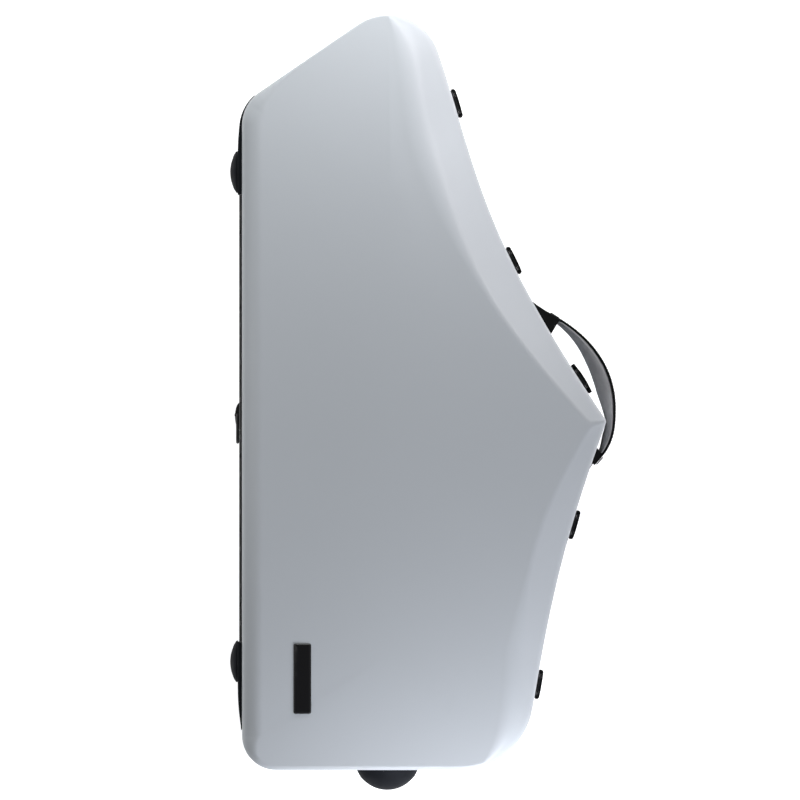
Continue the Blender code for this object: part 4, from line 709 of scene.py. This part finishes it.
for name, (middle, along) in LATCHES.items():
    dress(name + "_lever", black, 0.00035, 3)
    for piece in ("plate", "claw", "keeper"):
        dress(f"{name}_{piece}", dark_metal, 0.00015)
    long_lever = name == "latch_centre"
    end, corner = LONG_LEVER_END if long_lever else LEVER_END, LEVER_CORNER
    outline = ((-end, 0.0002), (end, 0.0002), (end, LEVER_FRONT - corner), (end - corner, LEVER_FRONT),
               (corner - end, LEVER_FRONT), (-end, LEVER_FRONT - corner))
    flange = [[placed(middle, along, a, n, h) for a, n in outline] for h in (FOOT_LOW, FOOT_HIGH)]
    foot = skin(name + "_lever_foot", flange, black)
    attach(foot, name + "_lever")
    for i, h in enumerate(RIB_HEIGHTS):
        crown = 0.0005 if long_lever else 0
        bar = []
        for a in np.linspace(-RIB_HALF, RIB_HALF, 17):
            edge = 1 - min(1, (abs(a) / RIB_HALF)**6)
            bow = crown * (1 - (a / 0.0142)**2) * 1.4 - crown
            bar.append([placed(middle, along, a, RIB_N + bow + n * edge, h + dh * (0.2 + 0.8 * edge))
                        for n, dh in RIB_SECTION])
        rib = skin(f"{name}_rib_{i + 1}", bar, black)
        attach(rib, name + "_lever")
    outward = (along[1], -along[0], 0)
    for i, a in enumerate((-RIVET_A, RIVET_A)):
        for piece, h, body in (("keeper", 0.0110, "lid"), ("plate", -0.0182, "base")):
            dome(f"{name}_{piece}_rivet_{i + 1}", placed(middle, along, a, RIVET_N, h), outward, 0.0016, 0.0007,
                 dark_metal, body, sides=20)

# Handle.
# A flexible black strap arches over the bell point between two moulded mounts on the base, held by a flat screw at
# each end. A padded grip in grey grained leatherette is sewn under it, thickest above the bell point.
pad = finish_of("grey_pad", (0.335, 0.336, 0.345), (0.42, 0.423, 0.43), 0.58, drift=0.16, rubbing=0.35, spread=0.10,
                scale=60.0, grain=(1300.0, 0.35), wave=(220.0, 0.08))
thread = finish_of("pad_thread", (0.30, 0.30, 0.305), (0.45, 0.45, 0.45), 0.7, drift=0.2, rubbing=0.3, scale=400.0,
                   grain=(6000.0, 0.3))
for piece, soft in (("handle_mount_upper", 0.0012), ("handle_mount_lower", 0.0012), ("handle_screw_upper", 0.0003),
                    ("handle_screw_lower", 0.0003)):
    dress(piece, black, soft, 3)
crest, bend_at = share(1.0295, 0.4738), share(0.8386, 0.6077)
STRAP = np.concatenate([share(0.8143, 0.6153)[None],
                        bez(bend_at, share(0.9568, 0.5795), share(1.0335, 0.5345), crest, 90),
                        bez(crest, share(1.0295, 0.4406), share(1.0137, 0.4236), share(0.9708, 0.4029), 70)[1:]])
HANDLE_H = -0.042  # the handle's middle lies in the base, below the parting plane


def strap_at(shares, sunk):
    """Points at shares of the strap's length, moved from its outer face towards the case."""
    run = run_of(STRAP)
    shares = np.asarray(shares, float)

    def at(s):
        s = np.clip(s, 0, 1) * run[-1]
        return np.stack([np.interp(s, run, STRAP[:, i]) for i in range(2)], axis=1)
    along = at(shares + 0.004) - at(shares - 0.004)
    along /= np.linalg.norm(along, axis=1)[:, None]
    return at(shares) + np.stack([along[:, 1], -along[:, 0]], axis=1) * np.reshape(sunk, (-1, 1))


def swept(name, shares, section, material):
    """A bar along the strap. section gives, for a share of the bar, its points as depth under the strap and height."""
    rings = []
    for i, s in enumerate(shares):
        points = section(i / (len(shares) - 1))
        flat = strap_at([s] * len(points), [p[0] for p in points])
        rings.append([spot(*f, HANDLE_H + p[1]) for f, p in zip(flat, points)])
    made = skin(name, rings, material, angle=60)
    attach(made, "base")
    return made


def strap_section(t):
    """A thin band with soft edges, thicker where it lies on the mounts."""
    soft, half = 0.0006, 0.013
    drawn = soft * 0.3
    thick = 0.0018 + 0.0024 * unit((0.146 - t) / 0.03) + 0.0014 * unit((t - 0.93) / 0.015)
    return [(drawn, half - drawn), (0, half - soft), (0.0001, 0), (0, -half + soft), (drawn, -half + drawn),
            (soft, -half), (thick - soft, -half), (thick - drawn, -half + drawn), (thick, -half + soft),
            (thick, half - soft), (thick - drawn, half - drawn), (thick - soft, half), (soft, half)]


PAD_DEPTH = 0.011
PAD_SHAPE = np.array(((0.0, 0.34), (0.11, 0.52), (0.20, 0.74), (0.32, 1.04), (0.46, 1.22), (0.585, 1.20), (0.71, 0.86),
                      (0.76, 0.62), (0.81, 0.57), (0.87, 0.70), (0.98, 0.44), (1.0, 0.32)))  # shares of PAD_DEPTH


def pad_depth(t):
    """The grip's thickness at a share of its length, with the table's corners smoothed out."""
    near = [np.interp(unit(t + d), PAD_SHAPE[:, 0], PAD_SHAPE[:, 1]) for d in np.linspace(-0.04, 0.04, 9)]
    return PAD_DEPTH * float(np.mean(near))


def pad_section(t):
    """A stuffed section: flat under the strap, full on the hand's side, and drawn in at both ends."""
    end = min(1, (math.sin(math.pi * unit(t)) + 1e-4) / 0.22)
    full = 0.90 + 0.10 * math.sqrt(end)
    depth, half, top = pad_depth(t) * full, 0.0149 * full, 0.00185
    points = []
    for i in range(28):
        a = i / 28 * 2 * math.pi
        c, s = math.cos(a), math.sin(a)
        power = 0.34 if c < 0 else 0.62
        deep = (1 + math.copysign(abs(c)**power, c)) / 2
        points.append((top + depth * deep, half * (1 - 0.74 * deep**1.8) * math.copysign(abs(s)**0.5, s)))
    return points


strap_look = swept("handle_strap_look", np.linspace(0, 1, 110), strap_section, black)
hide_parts("handle_strap")
grip_look = swept("handle_grip_look", np.linspace(0.131, 0.931, 100), pad_section, pad)
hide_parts("handle_grip")
STITCHES, STITCH_HALF, SEAM_H = 46, 0.0065, 0.0112
seam_curve = bpy.data.curves.new("grip_stitches", "CURVE")
seam_curve.dimensions, seam_curve.bevel_depth, seam_curve.bevel_resolution = "3D", 0.00028, 2
seam_curve.use_fill_caps = True
for sign in (-1, 1):
    for i in range(STITCHES):
        line = seam_curve.splines.new("POLY")
        line.points.add(1)
        for point, d in zip(line.points, (-STITCH_HALF, STITCH_HALF)):
            end = strap_at([0.134 + 0.79 * ((i + 0.5) / STITCHES + d)], [0.0001])[0]
            point.co = (*spot(*end, HANDLE_H + sign * SEAM_H), 1)
seam_curve.materials.append(thread)
seam = linked("grip_stitches", seam_curve)
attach(seam, "base")

# Badge plate.
# A small domed plate in gloss black resin, with a rounded edge. It is stuck to the lid near the spine's foot and
# carries nothing.
gloss = finish_of("gloss_plate", (0.004, 0.004, 0.005), (0.02, 0.02, 0.02), 0.12, drift=0.05, rubbing=0.1, spread=0.04,
                  scale=60.0, grain=(900.0, 0.01), wave=(60.0, 0.03), Specular_IOR_Level=0.38)
BADGE_SEAT, BADGE_HALF_U, BADGE_HALF_V, BADGE_CORNER = 0.0801, 0.0075, 0.02985, 0.0016
BADGE_EDGE = ((0.0, 0.0), (0.0, 0.0003), (0.0003, 0.0007), (0.0009, 0.00108), (0.0017, 0.00138), (0.0028, 0.00156),
              (0.0050, 0.00165), (0.0073, 0.00167))  # inwards from the edge, and up from the lid
badge_middle = share(0.1661, 0.1209)
plate_rings = []
for inset, lift in BADGE_EDGE:
    half_u, half_v, corner_r = BADGE_HALF_U - inset, BADGE_HALF_V - inset, max(BADGE_CORNER - inset, 0.0001)
    corners = [badge_middle + np.array((half_u * x, half_v * y)) for x, y in ((-1, -1), (1, -1), (1, 1), (-1, 1))]
    plate_rings.append(at_height(rounded(corners, [min(corner_r, half_u * 0.9)] * 4, 7), BADGE_SEAT + lift, 1))
badge = skin("badge_plate_look", plate_rings, gloss)
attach(badge, "lid")
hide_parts("badge_plate")
